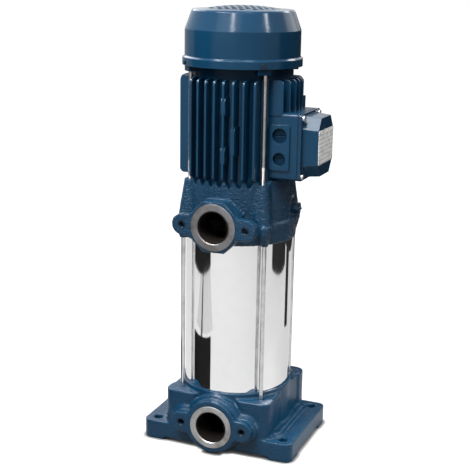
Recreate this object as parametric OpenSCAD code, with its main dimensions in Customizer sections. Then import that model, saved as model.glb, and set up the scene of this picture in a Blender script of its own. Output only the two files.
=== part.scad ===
// Vertical multistage pump: cast base and head, polished jacket, stage stack and finned motor.
// The shaft axis is Z and the floor is z = 0. Both ports face -Y and the terminal box is on +X.

/* [Base casting] */
// Width of the base plate along X
plate_w = 214; // [206:0.2:240]
// Depth of the base plate along Y
plate_d = 153; // [150:1:170]
// Height of the plate's top face above the floor
plate_top = 25.6; // [22:0.2:30]
// Plan corner radius of the base plate
plate_corner = 11; // [5:1:14]
// Height of the relief between the four feet
foot_h = 4; // [2:0.5:6]
// Length of the relief along the front and back edges
foot_gap_x = 151; // [130:1:165]
// Length of the relief along the side edges
foot_gap_y = 90; // [70:1:100]
// Wall left around the hollow underside of the plate
plate_wall = 8; // [6:0.5:9]
// Spacing of the mounting holes along X
mount_x = 181.4; // [178:0.2:184]
// Spacing of the mounting holes along Y
mount_y = 121.8; // [116:0.2:124]
// Diameter of the mounting holes
mount_hole_d = 12; // [9:0.5:13]
// Width of the body over the tie rod pads
body_w = 150; // [148:1:164]
// Depth of the body over the tie rod pads
body_d = 152; // [148:1:160]
// Width of one tie rod pad along X
pad_w = 51; // [46:1:56]
// Depth of one tie rod pad along Y
pad_d = 34; // [32:1:44]
// Plan corner radius of the tie rod pads
pad_corner = 13; // [6:1:15]
// Width of the raised step around the body along X
step_w = 168; // [164:0.5:172]
// Depth of the raised step around the body along Y
step_d = 133; // [126:0.5:138]
// Height of the step above the plate's top face
step_rise = 3.4; // [1:0.2:5]
// Radius of the flat spot around each mounting hole
spot_r = 12.5; // [11:0.5:13]
// Height of the tie rod pads above the floor
pad_top = 75.3; // [72:0.1:78]
// Height of the rim around the jacket above the floor
rim_top = 81.9; // [80:0.1:86]
// Wall of the rim around the jacket
rim_wall = 3.6; // [3.2:0.1:5]
// Depth of the jacket's seat below the rim
jacket_seat = 11.9; // [10:0.1:14]
// Radius of the suction chamber in the base
chamber_r = 58; // [54:1:60]
// Thickness of the chamber's floor above the relief
chamber_floor = 8; // [6:0.5:9]

/* [Ports] */
// Height of the suction port's axis above the floor
suction_z = 38.8; // [38:0.1:40]
// Height of the discharge port's axis above the head's lower face
discharge_rise = 26.6; // [25:0.1:28]
// Distance from the shaft axis to the machined port faces
port_reach = 93; // [91:0.5:98]
// Diameter of the port thread's core
port_bore_d = 38.95; // [36:0.05:40]
// Outside diameter of the machined ring on the suction port
suction_ring_d = 58.4; // [54:0.2:62]
// Outside diameter of the machined ring on the discharge port
discharge_ring_d = 60.8; // [56:0.2:62]
// Height of the machined rings above the painted flange
ring_h = 1.2; // [0.6:0.1:2]
// Radius of the round suction boss
suction_boss_r = 36; // [33:0.5:37]
// Half height of the discharge flange
discharge_boss_r = 33; // [32:0.5:36]
// Width of the flats on top of and under the discharge flange
flange_flat = 29; // [24:1:32]
// Spacing of the two flange holes
lug_spacing = 86.4; // [84:0.2:92]
// Radius of the rounded flange lugs
lug_r = 14; // [12:0.5:15]
// Diameter of the tapped flange holes
lug_hole_d = 8.5; // [6.8:0.1:10]
// Thickness of the port flanges
flange_t = 12; // [10:0.5:14]

/* [Jacket and tie rods] */
// Outside diameter of the jacket
jacket_d = 142.8; // [142:0.1:144]
// Wall of the jacket
jacket_wall = 1.5; // [1:0.1:2]
// Spacing of the jacket tie rods along X and Y
rod_pitch = 113.2; // [112:0.2:116]
// Diameter of the jacket tie rods
rod_d = 6; // [5:0.5:7]
// Thickness of the jacket's sealing rings
oring_d = 1.8; // [1.6:0.1:2]

/* [Stages] */
// Number of stages
stages = 5; // [4:1:6]
// Height of one stage
stage_pitch = 37.4; // [36:0.2:42]
// Outside radius of the stage casings
stage_r = 66; // [64:0.5:67]
// Wall of the stage casings
stage_wall = 2; // [1.5:0.1:2.4]
// Outside diameter of the impellers
impeller_d = 104; // [96:1:110]
// Radius of the impeller eye
eye_r = 27; // [24:0.5:30]
// Number of blades on an impeller
blades = 7; // [5:1:8]
// Number of return vanes on a diffuser
vanes = 8; // [6:1:10]
// Height of the blade passage
passage_h = 8; // [6:0.5:9]

/* [Head casting] */
// Radius of the head's lower band
band_r = 75.4; // [75:0.1:78]
// Height of the head's lower band
band_h = 27; // [24:0.5:30]
// Height of the head up to the motor rod pads
head_h = 78.7; // [77:0.1:84]
// Height of the air teeth above the motor rod pads
tooth_rise = 4; // [2:0.5:5]
// Depth of the notches between the air teeth
notch_depth = 8.6; // [6:0.2:9]
// Radius of the head's cone just above the band
cone_low_r = 72.5; // [71.5:0.1:73]
// Radius of the head's cone at the teeth
cone_high_r = 68.4; // [67.5:0.1:70]
// Radius of the bulged front and back panels with the air teeth
panel_r = 74; // [71:0.5:75]
// Half width of the front and back panels
panel_half_w = 46; // [40:1:50]
// Radius of the tie rod bosses on the band
rod_boss_r = 9; // [8:0.5:10]
// Outer radius of the corner pillars in plan
pillar_r = 8.5; // [7:0.5:9]

/* [Motor] */
// Radius of the motor frame's barrel
frame_r = 63.5; // [62.5:0.1:64.5]
// Length of the motor frame
frame_h = 138; // [134:1:150]
// Depth of the frame's seat in the head below the rod pads
frame_seat = 6.7; // [5:0.1:8]
// Radius of the envelope over the cooling fins
fin_env_r = 79.5; // [78:0.5:81]
// Spacing of the cooling fins
fin_pitch = 12.3; // [11.8:0.1:12.6]
// Thickness of a cooling fin
fin_t = 2.8; // [2:0.1:3.5]
// Height of the fins' lower ends above the motor rod pads
fin_start = 4.9; // [4.6:0.1:10]
// Corner radius of the fins
fin_corner = 6; // [2:0.5:8]
// Spacing of the motor tie rods along X and Y
motor_rod_pitch = 100.8; // [100:0.1:102]
// Diameter of the motor tie rods
motor_rod_d = 5; // [4:0.5:5.5]
// Outside radius of the stator core
core_r = 59.5; // [57:0.5:60]
// Radius of the stator bore
bore_r = 38; // [34:0.5:42]
// Length of the stator core
core_h = 80; // [70:1:86]
// Number of stator slots
slots = 24; // [18:6:30]
// Air gap between stator and rotor
air_gap = 0.4; // [0.3:0.05:0.6]

/* [Fan and cover] */
// Radius of the rear shield's barrel
shield_r = 66; // [64.5:0.5:68]
// Height of the rear shield's barrel
shield_h = 13.8; // [12:0.1:16]
// Outside radius of the fan cover's lip
lip_r = 77.7; // [77.5:0.1:80]
// Height of the fan cover's lip
lip_h = 10.7; // [9:0.1:12]
// Outside radius of the fan cover's barrel
cover_r = 74.8; // [74:0.1:76]
// Height of the fan cover from the lip's lower edge to the shoulder
cover_barrel_h = 45; // [42:1:52]
// Outside radius of the fan cover's flat top
cover_top_r = 64.5; // [60:0.5:68]
// Height of the fan cover up to its flat top
cover_h = 69.8; // [66:0.2:80]
// Wall of the fan cover
cover_wall = 1.4; // [1:0.1:2]
// Radius of the domed grille
grille_r = 53; // [48:0.5:56]
// Rise of the domed grille
grille_rise = 5; // [3:0.5:7]
// Spacing of the grille holes
grille_pitch = 9.6; // [9.4:0.1:12]
// Diameter of the grille holes
grille_hole_d = 7; // [5:0.1:7.6]
// Outside radius of the fan
fan_r = 60; // [52:1:66]
// Number of fan blades
fan_blades = 7; // [5:1:9]

/* [Terminal box] */
// Width of the terminal box along Y
box_w = 75; // [72:1:80]
// Height of the terminal box
box_h = 85.2; // [82:0.2:86]
// Height of the box's centre above the motor rod pads
box_rise = 48.2; // [47:0.1:54]
// Distance from the shaft axis to the box's joint face
box_joint_x = 90; // [88:0.5:96]
// Wall of the terminal box
box_wall = 4; // [3:0.1:5]
// Depth of the lid's hood beyond its flange
hood_h = 20.3; // [16:0.1:26]
// Width of the hood's end face along Y
hood_w = 60; // [56:1:64]
// Height of the hood's end face
hood_l = 74; // [70:1:78]
// Corner cut of the hood along Y
hood_cut_w = 11; // [8:0.5:14]
// Corner cut of the hood along Z
hood_cut_l = 15; // [12:0.5:18]
// Distance from the shaft axis to the cable entries
entry_x = 67.3; // [66:0.1:70]
// Diameter of the large cable entry
large_entry_d = 19.4; // [18:0.1:20]
// Diameter of the small cable entry
small_entry_d = 16.8; // [14:0.1:17]

/* [Hidden] */
$fn = 64;

// Finishes
paint = [0.09, 0.23, 0.36];
polished = [0.86, 0.87, 0.88];
machined = [0.62, 0.62, 0.62];
zinc = [0.72, 0.73, 0.74];
rubber = [0.06, 0.06, 0.06];
resin = [0.12, 0.12, 0.13];
copper = [0.72, 0.42, 0.22];
brass = [0.75, 0.6, 0.3];
lamination = [0.45, 0.46, 0.48];

// Fits: assembly clearance, free clearance of moving parts, bush and jacket clearances, cutter overrun
fit = 0.05;
free = 0.3;
bush_fit = 0.05;
jacket_fit = 0.15;
over = 1;

// Heights along the shaft, from the base up
jacket_r = jacket_d / 2;
jacket_in_r = jacket_r - jacket_wall;
rim_r = jacket_r + rim_wall;
seat_z = rim_top - jacket_seat;
stack_z = rim_top + 2;
stack_top = stack_z + stages * stage_pitch;
head_z = stack_top + 13.1;
head_seat = 5;
shoulder_z = head_z + head_seat;
ledge_z = head_z + band_h;
pillar_top = head_z + head_h;
tooth_top = pillar_top + tooth_rise;
discharge_z = head_z + discharge_rise;
ceiling_z = discharge_z + port_bore_d / 2 + 1.6;
ceiling_t = 6;
frame_z = pillar_top - frame_seat;
frame_top = frame_z + frame_h;
shield_top = frame_top + shield_h;
cover_z = shield_top;
cover_top = cover_z + cover_h;

// Port outlines
lug_tap = 16;
step_t = 10;
step_grow = 4;

// Rods and their seats
nut_pocket = 14;
nut_pocket_r = 9;
rod_nut_af = 10;
rod_nut_h = 5;
washer_t = 1.6;
rod_thread = 20;
motor_rod_thread = 15;
motor_nut_af = 8;
motor_nut_h = 2.7;
rod_proud = 0.8;

// Drain and priming plugs
drain_z = 30;
drain_stand = 0.6;
drain_y = max(plate_d, body_d) / 2 + drain_stand;
drain_boss_r = 11;
plug_r = 5.7;
plug_af = 14;
plug_head_h = 6;
plug_washer_t = 1.5;
prime_y = 11;
prime_z = ledge_z + 12;
prime_x = cone_low_r;
prime_boss_r = 16;
prime_pad_drop = 27;
flank_dish = 2.5;
flank_back = 17.5;
rod_boss_taper = 4.3;
rod_cone_h = 16.2;

// Shaft and running parts
shaft_r = 8;
shaft_flat = 6.9;
sleeve_r = 13;
vane_gap = 8;
bush_t = 4;
bush_h = 14;
bush_z = seat_z - 4;
hub_t = 4;
guide_flange_t = 4;
spoke_t = 6;
spoke_h = 10;
shroud_t = 2;
skirt_h = 6;
skirt_t = 2;
hub_rise = 4;
nut_h = 8;
shaft_nut_af = 22;
casing_floor = 2.5;
casing_lip_h = 3;
casing_lip_t = 1.8;
impeller_r = impeller_d / 2;
hub_h = shroud_t * 2 + passage_h + hub_rise;
hub_top = skirt_h + hub_h;
diffuser_z = hub_top - 2;
diffuser_t = 2.5;
diffuser_r = impeller_r + 2;
wear_ring_t = 3.8;
wear_ring_h = 5;
wear_ring_gap = 0.25;
first_hub_z = stack_z + skirt_h;
last_hub_top = stack_z + (stages - 1) * stage_pitch + hub_top;
nut_z = bush_z - 2.5 - washer_t;

// Mechanical seal, counted down from the chamber's ceiling
seat_h = 8;
seat_r = 16.5;
seal_face_gap = 0.05;
seal_head_h = 9;
seal_head_r = 15;
spring_h = 14;
spring_wire = 1.6;
spring_turns = 4;
seal_boss_r = 24;
seal_bore_r = seat_r + fit;
seal_seat_z = ceiling_z - seat_h;
seal_head_z = seal_seat_z - seal_face_gap - seal_head_h;
collar_top = seal_head_z - spring_h;

// Ball bearings: outside, inside, width, pitch and ball radii
drive_bearing = [23.5, 10, 14, 16.75, 3.97];
fan_bearing = [20, 8.5, 12, 14.25, 3.375];
ball_play = 0.04;
balls = 8;
drive_bearing_z = frame_z - 10;
fan_bearing_z = frame_top - 1;
bearing_hub_t = 5.5;
web_t = 8;
clip_t = 1.2;
wave_washer_t = 1.5;

// Thickened spots on the front and back fins: fin, height above the rod pads, length
fin_pads = [[0.5, 86, 24.7], [0.5, 24.8, 23.8], [1.5, 37.1, 37.2]];
fin_pad_grow = 2.6;
fin_sink = 1.6;

// Boss of the earth screw beside the terminal box's upper fins
earth_boss_x = 69.5;
earth_boss_y = 41;
earth_boss_r = 4;
earth_boss_rise = 89;
earth_boss_h = 16;

// Motor inside
core_lift = 32;
core_z = frame_z + core_lift;
turn_h = 18;
end_ring_h = 8;
slot_w = 5;
slot_depth = 12;
rotor_r = bore_r - air_gap;
rotor_shaft_r = 14;
shoulder_r = 12.5;

// Rear shield ears, and the angle between a rod and the cover screw beside it
ear_w = 18;
ear_low = 7;
ear_top = shield_top + 5.2;
ear_out_r = lip_r - cover_wall - free;
screw_turn = 4;
screw_z = cover_z + 4;
cover_screw_r = 1.5;
cover_screw_head_r = 3.2;

// Fan
fan_z = shield_top + 10;
fan_hub_r = 13;
fan_hub_h = 22;
fan_blade_h = 30;
fan_blade_t = 2;
fan_disc_t = 2.5;
fan_disc_inset = 12;
fan_shaft_r = 7;
fan_clip_h = 1;

// Terminal box
box_z = pillar_top + box_rise;
box_floor_x = 66;
box_corner = 4;
lid_flange_t = 4;
gasket_t = 1.2;
gasket_band = 11;
lid_hole_l = 20;
lid_x = box_joint_x + gasket_t;
lid_wall = 2.5;
lid_end_x = lid_x + lid_flange_t + hood_h;
hood_draft = 0.94;
lid_screw_y = box_w / 2 - 5.5;
lid_screw_z = box_h / 2 - 5.6;
lid_screw_r = 2;
lid_screw_head_r = 3.6;
lid_screw_head_h = 2.4;
screw_boss_r = 5;
entry_pad_w = 26.6;
entry_pad_h = 58;
entry_pad_t = 2.6;
entry_pad_z = box_z - 1;
large_entry_z = entry_pad_z + 15;
small_entry_z = entry_pad_z - 14.7;
entry_hole_l = 20;
plug_sink = 4.4;
plug_depth = box_wall + entry_pad_t - plug_sink;
plug_slot_w = 1.8;
plug_slot_depth = 1.2;
board_w = 36;
board_h = 44;
board_t = 4;
standoff = 4;
stud_r = 2;
plate_gap_w = 59;
plate_gap_h = 43;
nameplate_t = 0.8;
rivet_r = 1.6;

// Points of a circular arc in a profile
function arc(centre, r, from, to, n = 8) =
    [for (i = [0:n]) let (a = from + (to - from) * i / n) centre + r * [cos(a), sin(a)]];

// Height of a shallow dome of radius r and the given rise at distance x from its axis
function dome_z(r, rise, x) =
    let (big = (r * r + rise * rise) / (2 * rise)) sqrt(big * big - x * x) - big + rise;

// Reach of a fin whose tip lies on the round envelope
function fin_reach(offset_x) = sqrt(fin_env_r * fin_env_r - offset_x * offset_x);

// Start of a fin of thickness t, sunk into the barrel along its whole width
function fin_root(offset_x, t) =
    let (side = abs(offset_x) + t / 2) sqrt(frame_r * frame_r - side * side) - fin_sink;

// Rectangle with rounded corners, centred
module rounded(w, d, r) {
    square([w - 2 * r, d], center = true);
    square([w, d - 2 * r], center = true);
    for (x = [-1, 1], y = [-1, 1])
        translate([x * (w / 2 - r), y * (d / 2 - r)]) circle(r = r);
}

// Upright tube between two radii
module tube(r_out, r_in, z, h) {
    translate([0, 0, z]) difference() {
        cylinder(r = r_out, h = h);
        translate([0, 0, -over]) cylinder(r = r_in, h = h + 2 * over);
    }
}

// Children at the four corners of a square pattern
module four(pitch) {
    for (x = [-1, 1], y = [-1, 1]) translate([x * pitch / 2, y * pitch / 2, 0]) children();
}

// Children with their Z axis turned to the front, their Y axis up
module to_front(y, z) {
    translate([0, y, z]) rotate([90, 0, 0]) children();
}

// Children with their Z axis turned to the back
module to_back(y, z) {
    translate([0, y, z]) rotate([-90, 0, 0]) children();
}

// Children with their Z axis turned to +X and their Y axis up
module to_right(x, z) {
    translate([x, 0, z]) rotate([90, 0, 90]) children();
}

// Hexagonal prism with the given width across flats
module hexagon(af, h) {
    cylinder(r = af / sqrt(3), h = h, $fn = 6);
}

// Hexagon nut with a plain bore
module nut(af, bore_r, h) {
    difference() {
        hexagon(af, h);
        translate([0, 0, -over]) cylinder(r = bore_r, h = h + 2 * over);
    }
}

// Plan outline of the four tie rod pads and the flanks between them
module pad_outline() {
    square([body_w - 2 * flank_dish, body_d - 2 * flank_back], center = true);
    for (x = [-1, 1], y = [-1, 1])
        translate([x * (body_w - pad_w) / 2, y * (body_d - pad_d) / 2]) rounded(pad_w, pad_d, pad_corner);
}

// Plan outline of the raised step, cut away around the mounting holes
module step_outline() {
    difference() {
        rounded(step_w, step_d, pad_corner);
        for (x = [-1, 1], y = [-1, 1]) translate([x * mount_x / 2, y * mount_y / 2]) circle(r = spot_r);
    }
}

// Two rounded lugs in line with a port
module lug_outline(grow) {
    square([lug_spacing, 2 * (lug_r + grow)], center = true);
    for (x = [-1, 1]) translate([x * lug_spacing / 2, 0]) circle(r = lug_r + grow);
}

// Suction flange outline: a round boss and its lugs
module suction_outline(grow) {
    circle(r = suction_boss_r + grow);
    lug_outline(grow);
}

// Discharge flange outline: a lozenge with flats on top and below, and its lugs
module discharge_outline() {
    half = flange_flat / 2;
    side = half + discharge_boss_r - lug_r;
    polygon([
        [-half, discharge_boss_r], [half, discharge_boss_r], [side, lug_r], [side, -lug_r],
        [half, -discharge_boss_r], [-half, -discharge_boss_r], [-side, -lug_r], [-side, lug_r]
    ]);
    lug_outline(0);
}

// Port bore and the tapped holes beside it, drilled from the port face
module port_holes(depth) {
    translate([0, 0, -over]) cylinder(d = port_bore_d, h = depth + over);
    for (x = [-1, 1])
        translate([x * lug_spacing / 2, 0, ring_h - over]) cylinder(d = lug_hole_d, h = lug_tap + over);
}

module base_casting() color(paint) {
    difference() {
        union() {
            difference() {
                linear_extrude(plate_top) rounded(plate_w, plate_d, plate_corner);
                translate([-foot_gap_x / 2, -plate_d, -over]) cube([foot_gap_x, 2 * plate_d, foot_h + over]);
                translate([-plate_w, -foot_gap_y / 2, -over]) cube([2 * plate_w, foot_gap_y, foot_h + over]);
                underside_pockets();
            }
            translate([0, 0, plate_top - over]) linear_extrude(step_rise + over) step_outline();
            translate([0, 0, foot_h]) linear_extrude(pad_top - foot_h) pad_outline();
            translate([0, 0, foot_h]) cylinder(r = rim_r, h = rim_top - foot_h);
            to_front(-chamber_r, suction_z) linear_extrude(port_reach - chamber_r - ring_h) suction_outline(0);
            to_front(-chamber_r, suction_z)
                linear_extrude(port_reach - chamber_r - flange_t) intersection() {
                    suction_outline(step_grow);
                    translate([-body_w / 2, foot_h - suction_z]) square([body_w, pad_top]);
                }
            to_front(-chamber_r, suction_z) cylinder(d = suction_ring_d, h = port_reach - chamber_r);
            to_back(chamber_r, drain_z) cylinder(r = drain_boss_r, h = drain_y - chamber_r);
        }
        translate([0, 0, foot_h + chamber_floor]) cylinder(r = chamber_r, h = rim_top);
        translate([0, 0, seat_z]) cylinder(r = jacket_r + jacket_fit, h = rim_top);
        seal_groove(rim_top - jacket_seat / 2);
        translate([0, -port_reach, suction_z]) rotate([-90, 0, 0]) port_holes(port_reach - chamber_r / 2);
        four(rod_pitch) {
            translate([0, 0, -over]) cylinder(d = rod_d + 2 * free, h = rim_top);
            translate([0, 0, -over]) cylinder(r = nut_pocket_r, h = nut_pocket + over);
        }
        for (x = [-1, 1], y = [-1, 1])
            translate([x * mount_x / 2, y * mount_y / 2, -over]) cylinder(d = mount_hole_d, h = plate_top + 2 * over);
        to_back(chamber_r - plate_wall, drain_z) cylinder(r = plug_r + fit, h = port_reach);
    }
}

// Hollows under the two wings of the base plate, clear of the holes' bosses
module underside_pockets() {
    translate([0, 0, -over]) linear_extrude(plate_top - plate_wall + over) difference() {
        rounded(plate_w - 2 * plate_wall, plate_d - 2 * plate_wall, plate_corner / 2);
        square([body_w + plate_wall, plate_d], center = true);
        for (x = [-1, 1], y = [-1, 1])
            translate([x * mount_x / 2, y * mount_y / 2]) circle(d = mount_hole_d + 2 * plate_wall);
    }
}

// Groove that takes a jacket seal, centred at the given height
module seal_groove(z) {
    groove_h = oring_d + 2 * fit;
    translate([0, 0, z - groove_h / 2]) cylinder(r = jacket_r + oring_d + 2 * fit, h = groove_h);
}

// Screwed plug: threaded shank, washer face and hexagon head
module screw_plug(shank) {
    translate([0, 0, -shank]) cylinder(r = plug_r, h = shank + plug_washer_t);
    translate([0, 0, plug_washer_t]) hexagon(plug_af, plug_head_h);
}

module plug_washer() {
    tube(plug_r + 3, plug_r + fit, 0, plug_washer_t);
}

module drain_plug() color(zinc) {
    to_back(drain_y, drain_z) screw_plug(drain_y - chamber_r);
}

module drain_plug_washer() color(copper) {
    to_back(drain_y, drain_z) plug_washer();
}

module outer_jacket() color(polished) {
    tube(jacket_r, jacket_in_r, seat_z, shoulder_z - seat_z);
}

module jacket_seals() color(rubber) {
    for (z = [rim_top - jacket_seat / 2, head_z + head_seat / 2])
        translate([0, 0, z]) rotate_extrude()
            translate([jacket_r + fit + oring_d / 2, 0]) circle(d = oring_d, $fn = 32);
}

module tie_rods() color(zinc) {
    low = nut_pocket - washer_t - rod_nut_h - 2;
    four(rod_pitch) translate([0, 0, low]) cylinder(d = rod_d, h = head_z + rod_thread - low);
}

module tie_rod_nuts() color(zinc) {
    four(rod_pitch) translate([0, 0, nut_pocket - washer_t - rod_nut_h]) nut(rod_nut_af, rod_d / 2 + fit, rod_nut_h);
}

module tie_rod_washers() color(zinc) {
    four(rod_pitch) tube(nut_pocket_r - 2, rod_d / 2 + free, nut_pocket - washer_t, washer_t);
}

// Guide that lets the water in and carries the lower bush on four spokes
module inlet_guide() color(machined) {
    hub_r = sleeve_r + bush_fit + bush_t + fit;
    tube(jacket_in_r - free, chamber_r, seat_z, guide_flange_t);
    tube(stage_r, chamber_r, seat_z, stack_z - seat_z);
    tube(hub_r + hub_t, hub_r, bush_z, bush_h);
    for (a = [45:90:315])
        rotate([0, 0, a]) translate([hub_r + hub_t / 2, -spoke_t / 2, seat_z])
            cube([chamber_r - hub_r, spoke_t, spoke_h]);
}

module lower_bearing_bush() color(brass) {
    tube(sleeve_r + bush_fit + bush_t, sleeve_r + bush_fit, bush_z, bush_h);
}

// Children once for each stage, at the stage's floor
module each_stage() {
    for (i = [0:stages - 1]) translate([0, 0, stack_z + i * stage_pitch]) children();
}

module stage_casings() color(polished) {
    each_stage() difference() {
        union() {
            cylinder(r = stage_r, h = stage_pitch - fit);
            cylinder(r = stage_r + casing_lip_t, h = casing_floor);
            tube(stage_r + casing_lip_t, stage_r + 3 * fit, -casing_lip_h, casing_lip_h + casing_floor);
        }
        translate([0, 0, casing_floor]) cylinder(r = stage_r - stage_wall, h = stage_pitch);
        translate([0, 0, -over]) cylinder(r = eye_r + skirt_t + wear_ring_gap + wear_ring_t + fit, h = stage_pitch);
    }
}

module wear_rings() color(resin) {
    inner = eye_r + skirt_t + wear_ring_gap;
    each_stage() {
        tube(inner + wear_ring_t, inner, 0, wear_ring_h);
        tube(inner + wear_ring_t + 1.5, inner + wear_ring_t / 2, casing_floor, wear_ring_h - casing_floor);
    }
}

// One curved vane in plan: an arc band between two radii about the shaft
module vane_outline(r_in, r_out, bend, t) {
    intersection() {
        difference() {
            circle(r = r_out);
            circle(r = r_in);
        }
        translate([0, bend]) difference() {
            circle(r = bend + t / 2);
            circle(r = bend - t / 2);
        }
        translate([0, -t]) square([r_out, r_out]);
    }
}

module impellers() color(machined) {
    each_stage() impeller();
}

// Closed impeller: eye skirt, lower shroud, backward-curved blades, upper shroud and hub
module impeller() {
    tube(eye_r + skirt_t, eye_r, fit, skirt_h + shroud_t - fit);
    tube(impeller_r, eye_r, skirt_h, shroud_t);
    for (i = [0:blades - 1])
        rotate([0, 0, i * 360 / blades]) translate([0, 0, skirt_h + shroud_t / 2])
            linear_extrude(passage_h + shroud_t) vane_outline(eye_r - 2, impeller_r - 0.5, impeller_r * 0.62, 2);
    difference() {
        union() {
            translate([0, 0, skirt_h + shroud_t + passage_h]) cylinder(r = impeller_r, h = shroud_t);
            translate([0, 0, skirt_h]) cylinder(r = sleeve_r, h = hub_h);
        }
        translate([0, 0, skirt_h - over]) linear_extrude(hub_h + 2 * over) shaft_section(fit);
    }
}

// Shaft cross-section with two driving flats
module shaft_section(grow) {
    intersection() {
        circle(r = shaft_r + grow);
        square([2 * (shaft_flat + grow), 3 * shaft_r], center = true);
    }
}

module diffusers() color(resin) {
    each_stage() diffuser();
}

// Diffuser: a plate over the impeller with return vanes that centre it in its casing
module diffuser() {
    tube(diffuser_r, sleeve_r + free, diffuser_z, diffuser_t);
    for (i = [0:vanes - 1])
        rotate([0, 0, i * 360 / vanes]) translate([0, 0, diffuser_z + diffuser_t / 2])
            linear_extrude(stage_pitch - diffuser_z - diffuser_t / 2)
                vane_outline(sleeve_r + vane_gap, stage_r - stage_wall - fit, stage_r * 0.62, 2.4);
}

module stack_collar() color(machined) {
    tube(stage_r, stage_r - 2 * stage_wall, stack_top, shoulder_z - stack_top);
}

module shaft_sleeves() color(polished) {
    difference() {
        union() {
            sleeve(nut_z + washer_t, first_hub_z);
            for (i = [0:stages - 2])
                sleeve(stack_z + i * stage_pitch + hub_top, first_hub_z + (i + 1) * stage_pitch);
            sleeve(last_hub_top, collar_top);
        }
        translate([0, 0, nut_z]) linear_extrude(head_z) shaft_section(fit);
    }
}

// Plain sleeve between two heights
module sleeve(from, to) {
    translate([0, 0, from]) cylinder(r = sleeve_r, h = to - from);
}

module impeller_washer() color(polished) {
    tube(sleeve_r - 1, shaft_r + fit, nut_z, washer_t);
}

module impeller_nut() color(polished) {
    translate([0, 0, nut_z - nut_h]) nut(shaft_nut_af, shaft_r + fit, nut_h);
}

// Shaft: driving flats through the stages, journals for both bearings, seats for rotor and fan
module shaft() color(polished) {
    low = nut_z - nut_h - 2;
    drive_top = drive_bearing_z + drive_bearing[2];
    difference() {
        union() {
            translate([0, 0, low]) cylinder(r = shaft_r, h = drive_bearing_z - low);
            translate([0, 0, drive_bearing_z - clip_t - 2]) cylinder(r = drive_bearing[1], h = drive_bearing[2] + clip_t + 2);
            translate([0, 0, drive_top]) cylinder(r = shoulder_r, h = fan_bearing_z - drive_top);
            translate([0, 0, core_z - end_ring_h]) cylinder(r = rotor_shaft_r, h = core_h + 2 * end_ring_h);
            translate([0, 0, fan_bearing_z]) cylinder(r = fan_bearing[1], h = fan_bearing[2] + wave_washer_t + 2);
            translate([0, 0, fan_bearing_z + fan_bearing[2]])
                cylinder(r = fan_shaft_r, h = fan_z + fan_hub_h + 4 - fan_bearing_z - fan_bearing[2]);
        }
        flats(low, collar_top);
        clip_groove(drive_bearing_z - clip_t, drive_bearing[1], clip_t);
        clip_groove(fan_z + fan_hub_h, fan_shaft_r, fan_clip_h);
    }
}

// Two driving flats between two heights
module flats(from, to) {
    for (side = [-1, 1])
        translate([side * (shaft_flat + shaft_r) - shaft_r, -shaft_r - over, from])
            cube([2 * shaft_r, 2 * (shaft_r + over), to - from]);
}

// Groove for a retaining clip
module clip_groove(z, r, h) {
    tube(r + over, r - 1, z, h);
}

// Open retaining clip that sits in its groove
module retaining_clip(z, r, h) {
    difference() {
        tube(r + 2.5, r - 1 + fit, z + fit / 2, h - fit);
        translate([-2, 0, z - over]) cube([4, r + 5, h + 2 * over]);
    }
}

// Head: lower band with rod bosses, cone with air teeth, corner pillars, discharge port
module head_casting() color(paint) {
    difference() {
        union() {
            rotate_extrude() polygon(concat(
                [[0, head_z], [band_r, head_z]],
                arc([band_r - 3, ledge_z - 3], 3, 0, 90),
                [[cone_low_r, ledge_z], [cone_high_r, tooth_top], [0, tooth_top]]
            ));
            translate([0, 0, ledge_z - over]) intersection() {
                cylinder(r = panel_r, h = tooth_top - ledge_z + over);
                translate([-panel_half_w, -band_r, 0]) cube([2 * panel_half_w, 2 * band_r, head_h]);
            }
            four(rod_pitch) translate([0, 0, head_z]) rod_boss();
            for (x = [-1, 1], y = [-1, 1]) scale_corner(x, y) pillar();
            to_front(-cone_high_r / 2, discharge_z) linear_extrude(port_reach - ring_h - flange_t - cone_high_r / 2)
                intersection() {
                    discharge_outline();
                    translate([0, head_z - discharge_z + discharge_boss_r])
                        square(2 * discharge_boss_r, center = true);
                }
            to_front(-port_reach + ring_h + flange_t, discharge_z) linear_extrude(flange_t) discharge_outline();
            to_front(-port_reach + flange_t, discharge_z) cylinder(d = discharge_ring_d, h = flange_t);
            to_right(frame_r, prime_z) linear_extrude(prime_x - frame_r) priming_pad();
        }
        head_cavity();
        translate([0, -port_reach, discharge_z]) rotate([-90, 0, 0]) port_holes(port_reach - chamber_r / 2);
        four(rod_pitch) translate([0, 0, head_z - over]) cylinder(d = rod_d + 2 * fit, h = rod_thread + 2 + over);
        four(motor_rod_pitch)
            translate([0, 0, pillar_top - motor_rod_thread - 2]) cylinder(d = motor_rod_d + 2 * fit, h = head_h);
        for (i = [-3:3]) translate([i * fin_pitch, 0, 0]) air_notch();
        to_right(chamber_r / 2, prime_z) translate([prime_y, 0, 0]) cylinder(r = plug_r + fit, h = port_reach);
    }
}

// Boss of a tie rod, tapered toward its lower end
module rod_boss() {
    cylinder(r1 = rod_boss_r - rod_boss_taper, r2 = rod_boss_r, h = rod_cone_h);
    translate([0, 0, rod_cone_h]) cylinder(r = rod_boss_r, h = band_h - rod_cone_h);
}

// Round-topped pad of the priming plug, reaching down over the band
module priming_pad() {
    translate([prime_y, 0]) circle(r = prime_boss_r);
    translate([prime_y - prime_boss_r, -prime_pad_drop]) square([2 * prime_boss_r, prime_pad_drop]);
}

// Children mirrored into one of the four quadrants
module scale_corner(x, y) {
    mirror([x < 0 ? 1 : 0, 0, 0]) mirror([0, y < 0 ? 1 : 0, 0]) children();
}

// Corner pillar that leans in from the ledge to the motor rod pad
module pillar() {
    low = rod_pitch / 2 - 0.8;
    high = motor_rod_pitch / 2 - 1;
    back = 7;
    thin = 0.1;
    hull() for (foot = [[low, ledge_z - 2], [high, pillar_top - thin]], side = [[0, 0], [-back, 0], [0, -back]])
        translate([foot[0] + side[0], foot[0] + side[1], foot[1]]) cylinder(r = pillar_r, h = thin, $fn = 32);
}

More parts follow.
